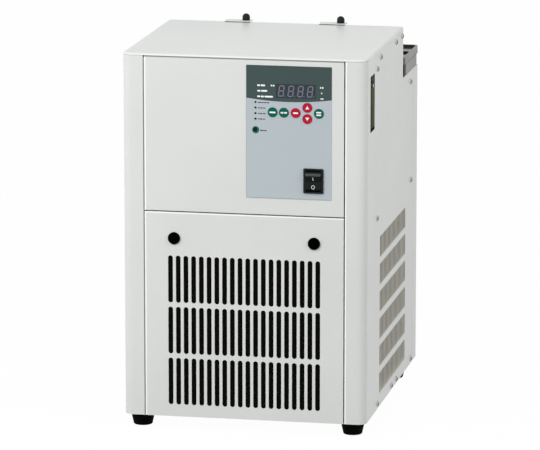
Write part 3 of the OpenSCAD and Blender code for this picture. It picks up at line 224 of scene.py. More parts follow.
class CirculatorStage(bpy.types.PropertyGroup):
    lens: FloatProperty(name="Lens", description="Focal length on a 36 mm sensor",
                        default=294.67, min=1.0, unit="CAMERA")
    place: FloatVectorProperty(name="Camera", description="Place of the camera", size=3,
                               default=at(973, -4781, 1219), subtype="TRANSLATION",
                               unit="LENGTH")
    pitch: FloatProperty(name="Pitch", description="Camera's angle above level",
                         default=math.radians(-11.509), subtype="ANGLE")
    yaw: FloatProperty(name="Yaw", description="Camera's turn to the left",
                       default=math.radians(11.157), subtype="ANGLE")
    ambient: FloatProperty(name="Ambient", description="Strength of the light all round",
                           default=0.485, min=0.0)


# Nodes, and shader nodes as expressions


def fill(tree, socket, value):
    """Links a socket to what is given, or sets its value."""
    if isinstance(value, Value):
        value = value.socket
    if isinstance(value, bpy.types.NodeSocket):
        tree.links.new(value, socket)
    elif socket.type == "RGBA":
        socket.default_value = (*value, 1.0)
    else:
        socket.default_value = value


def node(tree, kind, settings, sockets):
    """Adds a node with its settings, then fills the sockets given by name or number."""
    new = tree.nodes.new(kind)
    for name, value in settings.items():
        setattr(new, name, value)
    for key, value in sockets.items():
        fill(tree, new.inputs[key], value)
    return new


def scaled(tone, factor, lift=0.0):
    """Colour made darker or paler."""
    return [channel * factor + lift for channel in tone]


class Value:
    """What a node's socket gives. Arithmetic on it adds Math nodes."""

    def __init__(self, finish, socket):
        self.finish = finish
        self.socket = socket

    def join(self, operation, *terms):
        return self.finish.add("ShaderNodeMath", {"operation": operation}, *terms)

    def __add__(self, other):
        return self.join("ADD", self, other)

    def __sub__(self, other):
        return self.join("SUBTRACT", self, other)

    def __rsub__(self, other):
        return self.join("SUBTRACT", other, self)

    def __mul__(self, other):
        return self.join("MULTIPLY", self, other)

    def __truediv__(self, other):
        return self.join("DIVIDE", self, other)

    def __gt__(self, other):
        return self.join("GREATER_THAN", self, other)

    def __lt__(self, other):
        return self.join("LESS_THAN", self, other)

    def fraction(self):
        return self.join("FRACT", self)

    def ramp(self, low, high):
        """Smooth rise from 0 at low to 1 at high."""
        return self.finish.add("ShaderNodeMapRange", {"interpolation_type": "SMOOTHSTEP"},
                               self, low, high, 0.0, 1.0)

    __radd__ = __add__
    __rmul__ = __mul__


class Finish:
    """A procedural material built from one Principled surface."""

    def __init__(self, name, **sockets):
        self.material = bpy.data.materials.new(name)
        self.material.use_nodes = True
        self.tree = self.material.node_tree
        self.surface = self.tree.nodes["Principled BSDF"]
        self.set(**sockets)

    def set(self, **sockets):
        for name, value in sockets.items():
            fill(self.tree, self.surface.inputs[name.replace("_", " ")], value)

    def add(self, kind, settings, *values, output=0, **named):
        """Adds a node from its sockets' values in order, by name, or both."""
        sockets = dict(enumerate(values))
        sockets.update((name.replace("_", " "), value) for name, value in named.items())
        return Value(self, node(self.tree, kind, settings, sockets).outputs[output])

    def mix(self, first, second, factor):
        """Colour between two. A Mix node's sockets share their names, so they go by number."""
        new = node(self.tree, "ShaderNodeMix", {"data_type": "RGBA"},
                   {0: factor, 6: first, 7: second})
        return Value(self, new.outputs[2])

    def place(self):
        return self.add("ShaderNodeTexCoord", {}, output="Object")

    def axes(self):
        """Millimetres across, behind the front and above the housing's edge."""
        spot = node(self.tree, "ShaderNodeSeparateXYZ", {}, {0: self.place()})
        x, y, z = (Value(self, out) for out in spot.outputs)
        return x / MM, (y - FRONT_Y) / MM, (z - BASE_Z) / MM

    def noise(self, scale, detail=2.0, stretch=(1.0, 1.0, 1.0), roughness=0.5):
        spot = self.add("ShaderNodeMapping", {}, self.place(), Scale=stretch)
        return self.add("ShaderNodeTexNoise", {}, Vector=spot, Scale=scale, Detail=detail,
                        Roughness=roughness)

    def bump(self, height, depth, strength):
        """Turns a height of 0 to 1 into relief of the depth given in metres."""
        self.set(Normal=self.add("ShaderNodeBump", {}, Height=height, Distance=depth,
                                 Strength=strength))


def sprayed(name, tone, gloss):
    """Finish of sprayed enamel with a faint orange peel, and its slightly uneven colour."""
    finish = Finish(name, Coat_Weight=0.12, Coat_Roughness=0.22, Specular_IOR_Level=0.42)
    painted = finish.mix(scaled(tone, 0.955), tone, finish.noise(9.0, 3.0).ramp(0.25, 0.75))
    finish.set(Base_Color=painted, Roughness=finish.noise(240.0) * 0.10 + (gloss - 0.05))
    finish.bump(finish.noise(620.0, 2.0), 0.00002, 0.35)
    return finish, painted


def enamel(name, tone, gloss=0.38):
    """Sprayed enamel all over."""
    return sprayed(name, tone, gloss)[0].material


def cover_enamel(name, tone, zinc_and_shade):
    """Enamel outside, with a painted shadow in the seam under the top cover; galvanised steel
    inside, its tone kept dark as painted shade; the bars of the side grilles darker, in a paler
    tone of the inner faces.
    """
    finish, painted = sprayed(name, tone, 0.38)
    x, y, z = finish.axes()
    # Painted shadow: the enamel is darkened in the seam under the top cover's front edge
    seam = (z > SHADOW_Z) * (y < SHADOW_Y)
    painted = finish.mix(painted, scaled(tone, 0.25), seam)
    # Inner faces: galvanised steel, its tone also painted shade for the inside of the housing
    inside = (x * x < INNER_X ** 2) * (y > INNER_FRONT) * (y < INNER_REAR)
    # The bars of the side grilles are made darker than the enamel, in a paler tone of the inner
    # faces
    (low_y, low_z), (high_y, high_z), pitch, tall = GRILLE
    row = ((z - low_z) / pitch).fraction() * pitch
    bars = ((x * x > OUTER_X ** 2) * (y > low_y) * (y < high_y) * (z > low_z) * (z < high_z)
            * (row > 0.0) * (row < tall))
    finish.set(Base_Color=finish.mix(finish.mix(painted, zinc_and_shade, inside), scaled(zinc_and_shade, 1.75), bars))
    return finish.material


def moulding(name, tone, gloss=0.45, grain=1500.0, depth=0.00003, shine=0.25):
    """Moulded plastic or rubber with a fine grain."""
    finish = Finish(name, Specular_IOR_Level=shine)
    speck = finish.noise(grain, 3.0)
    paler = scaled(tone, 1.25, 0.0005)
    finish.set(Base_Color=finish.mix(tone, paler, speck.ramp(0.35, 0.75)),
               Roughness=finish.noise(180.0) * 0.14 + (gloss - 0.07))
    finish.bump(speck, depth, 0.5)
    return finish.material


def rocker_moulding(name, tone, pale):
    """Black plastic with a paler band along the ridge, painted as the highlight where its upper
    facet catches the light.
    """
    finish = Finish(name, Specular_IOR_Level=0.05)
    z = finish.axes()[2]
    low, high = ROCKER_HIGHLIGHT
    speck = finish.noise(1500.0, 3.0)
    # The paler band along the ridge is a painted highlight
    finish.set(Base_Color=finish.mix(tone, pale, (z - low).ramp(-0.2, 0.2) * (z < high)),
               Roughness=speck * 0.1 + 0.45)
    finish.bump(speck, 0.00003, 0.5)
    return finish.material


def rolled_metal(name, tone, gloss=0.30, stretch=(0.06, 1.0, 1.0), metal=1.0):
    """Rolled or drawn metal with a fine grain along one axis."""
    finish = Finish(name, Metallic=metal)
    grain = finish.noise(1400.0, 4.0, stretch)
    finish.set(Base_Color=finish.mix(scaled(tone, 0.80), tone, grain.ramp(0.3, 0.7)),
               Roughness=finish.noise(60.0) * 0.10 + grain * 0.10 + (gloss - 0.08))
    finish.bump(grain, 0.00001, 0.4)
    return finish.material


def printed_film(name, settings, prints):
    """Satin overlay film: a dark band with a curved lower edge above a blue-grey field."""
    finish = Finish(name, Specular_IOR_Level=0.12)
    x, _, z = finish.axes()
    low, high = home(*OVERLAY_LOW), home(*OVERLAY_HIGH)
    across = (x - (low.x + high.x) / 2) / ((high.x - low.x) / 2)
    edge = across * across * (prints.band_rise / MM) + (low.z + BAND_FOOT)
    band = (z - edge).ramp(-0.12, 0.12)
    # The field is made a little darker towards its top
    darker_upward = ((z - low.z) / (high.z - low.z)).ramp(0.0, 0.8)
    light = settings.film_light
    field = finish.mix(light, scaled(light, 0.97), darker_upward)
    # A darker line along the overlay's left and lower edges only
    edge_line = (x < low.x + EDGE_LINE_WIDE) + (z < low.z + EDGE_LINE_WIDE)
    field = finish.mix(field, scaled(light, 0.62), edge_line)
    finish.set(Base_Color=finish.mix(field, settings.film_dark, band),
               Roughness=finish.noise(300.0) * 0.08 + 0.36)
    finish.bump(finish.noise(2200.0, 2.0), 0.00001, 0.35)
    return finish.material


def open_foam(name, tone):
    """Black cellular foam."""
    finish = Finish(name, Roughness=0.95, Specular_IOR_Level=0.0)
    cells = finish.noise(420.0, 5.0, roughness=0.7)
    paler = scaled(tone, 2.2, 0.001)
    finish.set(Base_Color=finish.mix(tone, paler, cells.ramp(0.45, 0.75)))
    finish.bump(cells, 0.0004, 0.8)
    return finish.material


def sight_glass(name, tone):
    """Level tube, aged to olive, half filled, with painted shade along its front edge and painted
    light towards its rear.
    """
    finish = Finish(name, Specular_IOR_Level=0.0)
    _, y, z = finish.axes()
    wet = (LEVEL - z).ramp(-0.3, 0.3)
    streak = finish.noise(90.0, 3.0, (1.0, 1.0, 0.15))
    full = finish.mix(tone, scaled(tone, 0.85), streak.ramp(0.3, 0.7))
    glass = finish.mix(scaled(tone, 1.12), full, wet)
    # Painted light: the tube grows paler towards its rear
    rear = finish.mix(glass, scaled(tone, 1.35), y.ramp(*GAUGE_PAINTED_LIGHT))
    # Painted shade: the tube darkens along its front edge
    finish.set(Base_Color=finish.mix(scaled(tone, 0.45), rear, y.ramp(*GAUGE_SHADE)),
               Roughness=streak * 0.12 + 0.24)
    return finish.material


def mottled(name, tone, pale):
    """Cast surface with pale and dark patches."""
    finish = Finish(name, Specular_IOR_Level=0.0)
    patch = finish.noise(330.0, 2.0, (1.0, 1.0, 0.7))
    finish.set(Base_Color=finish.mix(tone, pale, patch.ramp(0.42, 0.66)),
               Roughness=patch * 0.2 + 0.4)
    finish.bump(patch, 0.0002, 0.4)
    return finish.material


def circuit_resist(name):
    """Green resist with copper tracks under it."""
    finish = Finish(name, Coat_Weight=0.3, Coat_Roughness=0.2)
    track = finish.add("ShaderNodeTexBrick", {"offset": 0.5}, Vector=finish.place(),
                       Scale=130.0, Mortar_Size=0.06)
    finish.set(Base_Color=finish.mix((0.012, 0.10, 0.04), (0.03, 0.17, 0.07), track),
               Roughness=finish.noise(400.0) * 0.1 + 0.3)
    finish.bump(track, 0.00005, 0.4)
    return finish.material


def finishes():
    """The material of each slot of the record."""
    tones = bpy.context.scene.circulator_colours
    prints = bpy.context.scene.circulator_prints
    return {
        "painted_sheet": enamel("grey enamel", tones.enamel),
        "rubber_black": moulding("black rubber", tones.rubber, 0.72, 900.0, 0.00005, shine=0.03),
        "screw_steel": rolled_metal("plated screw steel", (0.30, 0.30, 0.28), 0.36, metal=0.7),
        "overlay_film": printed_film("overlay film", tones, prints),
        "display_window": moulding("display window", tones.display, 0.3, 2600.0, 0.0, shine=0.1),
        "lamp_lens": moulding("lamp lens", (0.004, 0.004, 0.005), 0.3, 2000.0, 0.0, shine=0.1),
        "circuit_board": circuit_resist("board resist"),
        "supply_case": rolled_metal("folded aluminium", (0.62, 0.62, 0.62), 0.42),
        "black_plastic": moulding("black moulding", tones.black, 0.42, shine=0.12),
        "green_key": moulding("green key", tones.green, 0.36, 1800.0, 0.00001, shine=0.08),
        "red_key": moulding("red key", tones.red, 0.36, 1800.0, 0.00001, shine=0.08),
        "stainless": rolled_metal("stainless sheet", tones.stainless, 0.30),
        "black_foam": open_foam("black foam", (0.0035, 0.0035, 0.003)),
        "gauge_tube": sight_glass("sight tube", tones.tube),
        "aluminium_fins": rolled_metal("fin aluminium", (0.72, 0.73, 0.73), 0.38),
        "motor_enamel": enamel("black enamel", (0.022, 0.023, 0.026), 0.32),
        "copper": rolled_metal("drawn copper", (0.78, 0.36, 0.19), 0.34, (1.0, 0.2, 0.2)),
        "impeller_plastic": moulding("natural moulding", (0.66, 0.65, 0.58), 0.4, 900.0),
        "hose_silicone": moulding("milky hose", (0.52, 0.52, 0.47), 0.5, 700.0),
        "brass": rolled_metal("turned brass", (0.74, 0.54, 0.22), 0.28, (1.0, 1.0, 0.1)),
        "lever_plastic": moulding("blue lever", (0.015, 0.06, 0.33), 0.38, 1200.0),
    }


# Mesh helpers


def facing(u, v, w):
    """Place of a drawing that faces the front: across, up and behind."""
    return at(u, w, v)


def lying(u, v, w):
    """Place of a drawing that lies flat: across, behind and up."""
    return at(u, v, w)


def sideways(u, v, w):
    """Place of a drawing that faces the right side: behind, up and across."""
    return at(w, u, v)


def add_prism(mesh, outline, start, stop, place):
    """Closed prism from an outline, between two distances along the third axis."""
    near = [mesh.verts.new(place(u, v, start)) for u, v in outline]
    far = [mesh.verts.new(place(u, v, stop)) for u, v in outline]
    mesh.faces.new(near)
    mesh.faces.new(far[::-1])
    for i in range(len(outline)):
        j = (i + 1) % len(outline)
        mesh.faces.new((near[j], near[i], far[i], far[j]))


def bridge(mesh, loops):
    """Joins each loop of points to the next one, and the last to the first."""
    count = len(loops[0])
    for first, second in zip(loops, loops[1:] + loops[:1]):
        for i in range(count):
            j = (i + 1) % count
            mesh.faces.new((first[i], first[j], second[j], second[i]))


def add_band(mesh, outer, inner, start, stop, place):
    """Closed band between an outer and an inner outline of as many points."""
    bridge(mesh, [[mesh.verts.new(place(u, v, w)) for u, v in outline] for outline, w in
                  ((outer, start), (inner, start), (inner, stop), (outer, stop))])


def solid(name, shapes, start, stop, place=facing):
    """Closed prisms from outlines in millimetres, as one piece."""
    mesh = bmesh.new()
    for outline in shapes:
        add_prism(mesh, outline, start, stop, place)
    return hold(name, mesh)


def turned(name, profile, count):
    """Ring turned about Z from a closed profile of radius and height pairs in millimetres."""
    mesh = bmesh.new()
    bridge(mesh, [[mesh.verts.new(Vector((x, y, h)) * MM) for x, y in disc(0.0, 0.0, r, count)]
                  for r, h in profile])
    return hold(name, mesh)


def box_outline(x0, z0, x1, z1):
    """Outline of a rectangle from two opposite corners."""
    return [(x0, z0), (x1, z0), (x1, z1), (x0, z1)]


def hold(name, mesh):
    """Turns the faces outward and puts the mesh in the scene as a piece."""
    bmesh.ops.recalc_face_normals(mesh, faces=mesh.faces)
    data = bpy.data.meshes.new(name)
    mesh.to_mesh(data)
    mesh.free()
    item = bpy.data.objects.new(name, data)
    bpy.context.scene.collection.objects.link(item)
    return item


def finish_piece(item, material, body):
    """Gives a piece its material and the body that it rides."""
    item.data.materials.clear()
    item.data.materials.append(material)
    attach(item, body)


def oblong(x, z, w, h):
    """Outline of a bar with rounded ends, from its lower left corner."""
    r = min(w, h) / 2
    outline = []
    for centre_x, centre_z, start in ((x + w - r, z + r, -90), (x + w - r, z + h - r, 0),
                                      (x + r, z + h - r, 90), (x + r, z + r, 180)):
        for step in range(5):
            angle = math.radians(start + step * 22.5)
            spot = (centre_x + r * math.cos(angle), centre_z + r * math.sin(angle))
            if not outline or math.dist(spot, outline[-1]) > 1e-4:
                outline.append(spot)
    if math.dist(outline[0], outline[-1]) < 1e-4:
        outline.pop()
    return outline


def centred(w, h, x=0.0, z=0.0):
    """Outline of a bar with rounded ends round a centre."""
    return oblong(x - w / 2, z - h / 2, w, h)


def disc(x, z, r, count=48):
    """Outline of a circle round a centre."""
    return [(x + r * math.cos(math.tau * i / count), z + r * math.sin(math.tau * i / count))
            for i in range(count)]


def words(x, z, widths, h, gap=0.55):
    """Row of short bars with rounded ends."""
    bars = []
    for w in widths:
        bars.append(oblong(x, z - h / 2, w, h))
        x += w + gap
    return bars


def print_ink(name, shapes, front, material, body, slot):
    """Thin printed shapes that stand on a face at the depth given."""
    depth = bpy.context.scene.circulator_prints.ink_depth / MM
    finish_piece(solid(name, shapes, front - depth, front), material, body)


# Repeats made with Geometry Nodes


def repeat_tree():
    """Puts a shape on every point, turned to face the way that the point gives."""
    tree = bpy.data.node_groups.new("repeated fitting", "GeometryNodeTree")
    socket = tree.interface.new_socket
    socket("Geometry", in_out="INPUT", socket_type="NodeSocketGeometry")
    socket("Shape", in_out="INPUT", socket_type="NodeSocketObject")
    socket("Size", in_out="INPUT", socket_type="NodeSocketFloat")
    socket("Material", in_out="INPUT", socket_type="NodeSocketMaterial")
    socket("Geometry", in_out="OUTPUT", socket_type="NodeSocketGeometry")
    given = node(tree, "NodeGroupInput", {}, {})
    shape = node(tree, "GeometryNodeObjectInfo", {}, {"Object": given.outputs["Shape"]})
    way = node(tree, "GeometryNodeInputNamedAttribute", {"data_type": "FLOAT_VECTOR"},
               {"Name": "facing"})
    turn = node(tree, "FunctionNodeAlignRotationToVector", {"axis": "Z"},
                {"Vector": way.outputs["Attribute"]})
    placed = node(tree, "GeometryNodeInstanceOnPoints", {},
                  {"Points": given.outputs["Geometry"], "Instance": shape.outputs["Geometry"],
                   "Rotation": turn.outputs[0], "Scale": given.outputs["Size"]})
    real = node(tree, "GeometryNodeRealizeInstances", {}, {0: placed.outputs[0]})
    paint = node(tree, "GeometryNodeSetMaterial", {},
                 {"Geometry": real.outputs[0], "Material": given.outputs["Material"]})
    node(tree, "NodeGroupOutput", {}, {0: paint.outputs[0]})
    return tree


def repeat(name, shape, spots, body, material, size=1.0):
    """Repeats a shape over points, each with the way it faces, and keeps the result as a mesh."""
    tree = repeat_tree()
    seeds = bpy.data.meshes.new(name)
    seeds.from_pydata([spot for spot, _ in spots], [], [])
    ways = seeds.attributes.new("facing", "FLOAT_VECTOR", "POINT")
    for i, (_, way) in enumerate(spots):
        ways.data[i].vector = way
    item = bpy.data.objects.new(name, seeds)
    bpy.context.scene.collection.objects.link(item)
    modifier = item.modifiers.new("repeat", "NODES")
    modifier.node_group = tree
    values = {"Shape": shape, "Size": size, "Material": material}
    for socket in tree.interface.items_tree:
        if socket.in_out == "INPUT" and socket.name in values:
            modifier[socket.identifier] = values[socket.name]
    result = bpy.data.meshes.new_from_object(
        item.evaluated_get(bpy.context.evaluated_depsgraph_get()))
    item.modifiers.clear()
    item.data = result
    bpy.data.objects.remove(shape)
    finish_piece(item, material, body)


# Operators, one for each group of pieces


class CIRCULATOR_OT_finishes(bpy.types.Operator):
    """Gives every solid of the frame the finish of its slot"""

    bl_idname = "circulator.finishes"
    bl_label = "Finishes"

    def execute(self, context):
        materials = finishes()
        tones = context.scene.circulator_colours
        own = dict.fromkeys(COVERS, cover_enamel("cover enamel", tones.enamel, tones.zinc_and_shade))
        fastener = moulding("fastener moulding", tones.rubber, 0.5, 1500.0, shine=0.0)
        own.update(dict.fromkeys(("left_fastener", "right_fastener"), fastener))
        # The rocker's ridge gets a painted highlight, a paler band
        own["switch_rocker"] = rocker_moulding("rocker moulding", (0.009, 0.0125, 0.012),
                                               (0.060, 0.066, 0.066))
        for part in frame["record"]["subparts"]:
            mesh = frame["nodes"][part["node"]].data
            mesh.materials.clear()
            mesh.materials.append(own.get(part["node"], materials[part["material_slot"]]))
        return {"FINISHED"}


SEGMENTS = {
    "top": ((0.0, 1.0), (1.0, 1.0)), "middle": ((0.0, 0.5), (1.0, 0.5)),
    "bottom": ((0.0, 0.0), (1.0, 0.0)), "upper left": ((0.0, 0.5), (0.0, 1.0)),
    "upper right": ((1.0, 0.5), (1.0, 1.0)), "lower left": ((0.0, 0.0), (0.0, 0.5)),
    "lower right": ((1.0, 0.0), (1.0, 0.5)),
}


def segment(start, end, w):
    """Six-sided bar between two corners of a digit, with pointed ends."""
    (x0, z0), (x1, z1) = start, end
    run = math.dist(start, end)
    ux, uz = (x1 - x0) / run, (z1 - z0) / run
    px, pz = -uz * w / 2, ux * w / 2
    cut, inset = w * 0.6, w * 0.12
    a, b = (x0 + ux * inset, z0 + uz * inset), (x1 - ux * inset, z1 - uz * inset)
    c, d = (x0 + ux * cut, z0 + uz * cut), (x1 - ux * cut, z1 - uz * cut)
    return [a, (c[0] - px, c[1] - pz), (d[0] - px, d[1] - pz), b,
            (d[0] + px, d[1] + pz), (c[0] + px, c[1] + pz)]


class CIRCULATOR_OT_digits(bpy.types.Operator):
    """Makes the display's four slanted digits, unlit"""

    bl_idname = "circulator.digits"
    bl_label = "Digits"

    def execute(self, context):
        prints = context.scene.circulator_prints
        tones = context.scene.circulator_colours
        low, high = (home(*corner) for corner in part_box("display_module"))
        h, w = prints.digit_height / MM, prints.digit_width / MM
        pitch, bar = prints.digit_pitch / MM, prints.segment_width / MM
        start = (low.x + high.x) / 2 - (DIGITS - 1) / 2 * pitch - w / 2
        base = (low.z + high.z) / 2 - h / 2
        shapes = []
        for i in range(DIGITS):
            left = start + i * pitch
            for ends in SEGMENTS.values():
                ends = [(x * (w - bar) + bar / 2, z * (h - bar) + bar / 2) for x, z in ends]
                shapes.append([(left + x + SLANT * (z - h / 2), base + z)
                               for x, z in segment(*ends, bar)])
            shapes.append(disc(left + w + POINT_GAP - SLANT * h / 2, base + POINT_RISE, POINT_R,
                               16))
        material = moulding("unlit segments", tones.segment, 0.4, 2400.0, 0.0)
        print_ink("display_digits", shapes, low.y, material, "housing", "display_window")
        return {"FINISHED"}


def key_marks():
    """Outlines printed on each key, from its centre."""
    arrow = [(-2.1, -1.7), (2.1, -1.7), (0.0, 2.0)]
    return {
        "mode_key": [centred(7.2, 1.8)],
        "pump_key": [centred(3.4, 1.8, x) for x in (-2.0, 2.0)],
        "set_key": [centred(5.8, 1.8)],
        "up_key": [arrow],
        "down_key": [[(-x, -z) for x, z in arrow]],
        "run_key": [centred(5.8, 1.7, 0.0, z) for z in (1.45, -1.45)],
    }


class CIRCULATOR_OT_prints(bpy.types.Operator):
    """Prints the bars and marks of the overlay and the keys"""

    bl_idname = "circulator.prints"
    bl_label = "Prints"

    def execute(self, context):
        prints = context.scene.circulator_prints
        tones = context.scene.circulator_colours
        white = moulding("white print", tones.ink, 0.5, 2400.0, 0.0)
        dark = moulding("dark print", (0.045, 0.052, 0.058), 0.5, 2400.0, 0.0)
        green = moulding("green print", tones.green, 0.45, 2400.0, 0.0)
        h = prints.bar_height / MM
        face = home(*OVERLAY_LOW).y
        band = [bar for x, z, widths in BAND_ROWS for bar in words(x, z, widths, h)]
        print_ink("band_labels", band, face, white, "housing", "overlay_film")
        field = [bar for x, z, tall, widths in FIELD_ROWS
                 for bar in words(x, z, widths, tall, 0.35)]
        print_ink("field_labels", field, face, dark, "housing", "overlay_film")
        print_ink("field_disc", [disc(*FIELD_DISC)], face, green, "housing", "overlay_film")
        core = moulding("disc core", (0.002, 0.022, 0.016), 0.45, 2400.0, 0.0, shine=0.05)
        print_ink("field_disc_core", [disc(*DISC_CORE)], face - prints.ink_depth / MM, core,
                  "housing", "overlay_film")
        for key, shapes in key_marks().items():
            centre = middle(key)
            front = home(*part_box(key)[0]).y
            placed = [[(centre.x + x, centre.z + z) for x, z in shape] for shape in shapes]
            print_ink(key + "_mark", placed, front, white, *KEYS[key])
        return {"FINISHED"}


def rocker_face(half):
    """Place of a drawing on the rocker's upper half, 1, or on its lower half, -1."""
    pivot = Vector((middle("switch_rocker").x, ROCKER_PIVOT, middle("switch_body").z))
    tilt = Matrix.Rotation(ROCKER_TILT, 4, "X")
    rise = (ROCKER_REACH - ROCKER_RIDGE) / ROCKER_HALF

    def place(u, v, w):
        return at(*(pivot + tilt @ Vector((u, w - ROCKER_RIDGE - half * v * rise, v))))

    return place


class CIRCULATOR_OT_rocker_marks(bpy.types.Operator):
    """Prints the line and the ring on the rocker's two halves"""

    bl_idname = "circulator.rocker_marks"
    bl_label = "Rocker marks"

    def execute(self, context):
        depth = context.scene.circulator_prints.ink_depth / MM
        ring, hollow = (disc(0.0, RING_Z, r, 32) for r in RING_RADII)
        mesh = bmesh.new()
        add_prism(mesh, box_outline(*ROCKER_LINE), -depth, depth, rocker_face(1))
        add_band(mesh, ring, hollow, -depth, depth, rocker_face(-1))
        white = moulding("rocker print", context.scene.circulator_colours.ink, 0.5, 2400.0, 0.0)
        finish_piece(hold("rocker_marks", mesh), white, "rocker")
        return {"FINISHED"}


def screw_spots(rise):
    """Points at a height over the seat of every cover screw, with the way each screw faces."""
    spots = [(at(side * (SIDE_X + rise), y, z), Vector((side, 0, 0)))
             for y, z in SIDE_SCREWS for side in (-1, 1)]
    return spots + [(at(x, y + rise, z), Vector((0, 1, 0))) for x, y, z in REAR_SCREWS]


class CIRCULATOR_OT_screws(bpy.types.Operator):
    """Puts a flange round every cover screw's head and a near-black cross on it, painted shade for
    the cross recess
    """

    bl_idname = "circulator.screws"
    bl_label = "Screws"

    def execute(self, context):
        steel = rolled_metal("screw head steel", (0.42, 0.42, 0.40), 0.34, metal=0.7)
        # Near-black cross on each head: painted shade standing for the cross recess
        dark = moulding("screw recess", (0.004, 0.004, 0.004), 0.6, 1500.0, 0.0, shine=0.05)
        head = turned("head", ((2.6, -0.05), (3.5, -0.05), (3.5, 0.4), (3.3, 0.8), (2.95, 1.1),
                               (2.6, 1.2)), 24)
        repeat("screw_heads", head, screw_spots(0.0), "housing", steel)
        arm, half, thick, rise = 1.9, 0.42, 0.18, 1.6
        quarter, outline = [(arm, half), (half, half), (half, arm)], []
        for _ in range(4):
            outline += quarter
            quarter = [(-v, u) for u, v in quarter]
        cross = solid("cross", [outline], 0.0, thick, lambda u, v, w: Vector((u, v, w)) * MM)
        repeat("screw_crosses", cross, screw_spots(rise), "housing", dark)
        return {"FINISHED"}


class CIRCULATOR_OT_gauge(bpy.types.Operator):
    """Makes the pane of the level gauge's window and the fittings at its ends, the foot painted
    near black also as shadow and a white disc on the collar as a painted highlight
    """

    bl_idname = "circulator.gauge"
    bl_label = "Gauge"

    def execute(self, context):
        tones = context.scene.circulator_colours
        low, high = (home(*corner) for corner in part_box("gauge_holder"))
        front, rear = low.y + WINDOW_SIDE, high.y - WINDOW_SIDE
        foot, top = low.z + WINDOW_FOOT, high.z - WINDOW_TOP
        cap, neck, cut = foot + FOOT_TALL, top - COLLAR_TALL, WINDOW_CUT
        back, face = high.x + PANE_GAP, high.x + PANE_GAP + PANE_THICK
        pane = solid("gauge_pane", [box_outline(front, cap, rear, neck)], back, face, sideways)
        finish_piece(pane, sight_glass("gauge pane", tones.tube), "housing")
        # The window's foot: a fitting, painted near black also as the shadow in the window's lower
        # end
        outline = [(front + cut, foot), (rear - cut, foot), (rear, foot + cut),
                   (rear, cap - PANE_GAP), (front, cap - PANE_GAP), (front, foot + cut)]
        ends = solid("gauge_ends", [outline], back, face, sideways)
        dark = moulding("gauge fitting", (0.020, 0.023, 0.018), 0.4, 700.0, 0.0002, shine=0.0)
        finish_piece(ends, dark, "housing")
        outline = [(front, neck + PANE_GAP), (rear, neck + PANE_GAP), (rear, top - cut),
                   (rear - cut, top), (front + cut, top), (front, top - cut)]
        collar = solid("gauge_collar", [outline], back, face, sideways)
        finish_piece(collar, mottled("gauge collar", (0.028, 0.033, 0.025), (0.13, 0.14, 0.115)),
                     "housing")
        # White disc on the collar: a painted highlight
        bead = [disc(rear - HIGHLIGHT_INSET, neck + HIGHLIGHT_RISE, HIGHLIGHT_R, 20)]
        glint = solid("gauge_vent", bead, face - HIGHLIGHT_SUNK, face + HIGHLIGHT_PROUD, sideways)
        finish_piece(glint, moulding("gauge highlight", tones.ink, 0.4, 2400.0, 0.0), "housing")
        return {"FINISHED"}


class CIRCULATOR_OT_seams(bpy.types.Operator):
    """Lays grey strips in the seams as painted shade, and white strips beside them as painted
    highlights on the folded edges
    """

    bl_idname = "circulator.seams"
    bl_label = "Seams"

    def execute(self, context):
        tones = context.scene.circulator_colours
        upper_low, upper_high = (home(*corner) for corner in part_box("upper_front_panel"))
        lower_high = home(*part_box("lower_front_grille")[1])
        pillar = home(*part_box("right_side_cover")[0]).x
        left, right, cap = -upper_high.x, upper_high.x, upper_high.z
        # Grey strips in the left and upper seams: painted shade for the gaps
        grey = moulding("seam strip", tones.seam, 0.7, 1200.0, 0.00002, shine=0.1)
        strips = [box_outline(SEAM_GAP - pillar, STRIP_FOOT, left - SEAM_GAP, cap - STRIP_SHORT),
                  box_outline(left + STRIP_SHORT, cap + SEAM_GAP, right - STRIP_SHORT,
                              cap + SEAM_GAP + STRIP_TALL)]
        finish_piece(solid("seam_strips", strips, *STRIP_DEPTHS), grey, "housing")
        # White strips beside the seams: painted highlights on the folded edges
        edge_highlight, wide = enamel("edge enamel", tones.edge), EDGE_HIGHLIGHT_WIDE
        edges = [box_outline(left, upper_low.z, left + wide, cap),
                 box_outline(left, EDGE_HIGHLIGHT_FOOT, left + wide, lower_high.z),
                 box_outline(pillar, EDGE_HIGHLIGHT_FOOT, pillar + wide, cap + EDGE_HIGHLIGHT_RISE),
                 box_outline(left + wide, lower_high.z - wide, right, lower_high.z)]
        finish_piece(solid("seam_edges", edges, *EDGE_HIGHLIGHT_DEPTHS), edge_highlight, "housing")
        return {"FINISHED"}


class CIRCULATOR_OT_seals(bpy.types.Operator):
    """Lays dark strips before the brackets, and round the reservoir's rim a dark strip as a painted
    shadow under its lip
    """

    bl_idname = "circulator.seals"
    bl_label = "Lines and shadow"

    def execute(self, context):
        # Dark strips on the top before the brackets
        dark_strips = [centred(DARK_STRIP_WIDE, DARK_STRIP_DEEP, side * BRACKET_X, DARK_STRIP_Y) for side in (-1, 1)]
        deck = home(*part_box("top_cover")[1]).z
        grey = moulding("bracket dark_strip", (0.03, 0.03, 0.029), 0.7, 900.0, 0.00002, shine=0.05)
        finish_piece(solid("bracket_pads", dark_strips, deck, deck + DARK_STRIP_THICK, lying), grey, "housing")
        # Dark strip round the rim: a painted shadow under its lip
        rim = home(*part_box("tank_rim")[1])
        outer, inner = (box_outline(inset - rim.x, RIM_SHADOW_FRONT + inset, rim.x - inset,
                                    rim.y - inset) for inset in RIM_SHADOW_INSETS)
        mesh, top = bmesh.new(), rim.z - RIM_SHADOW_DROP
        add_band(mesh, outer, inner, top - RIM_SHADOW_TALL, top, lying)
        rubber = moulding("rim shadow", context.scene.circulator_colours.rubber, 0.7, 900.0,
                          0.00002, shine=0.03)
        finish_piece(hold("rim_seal", mesh), rubber, "housing")
        return {"FINISHED"}


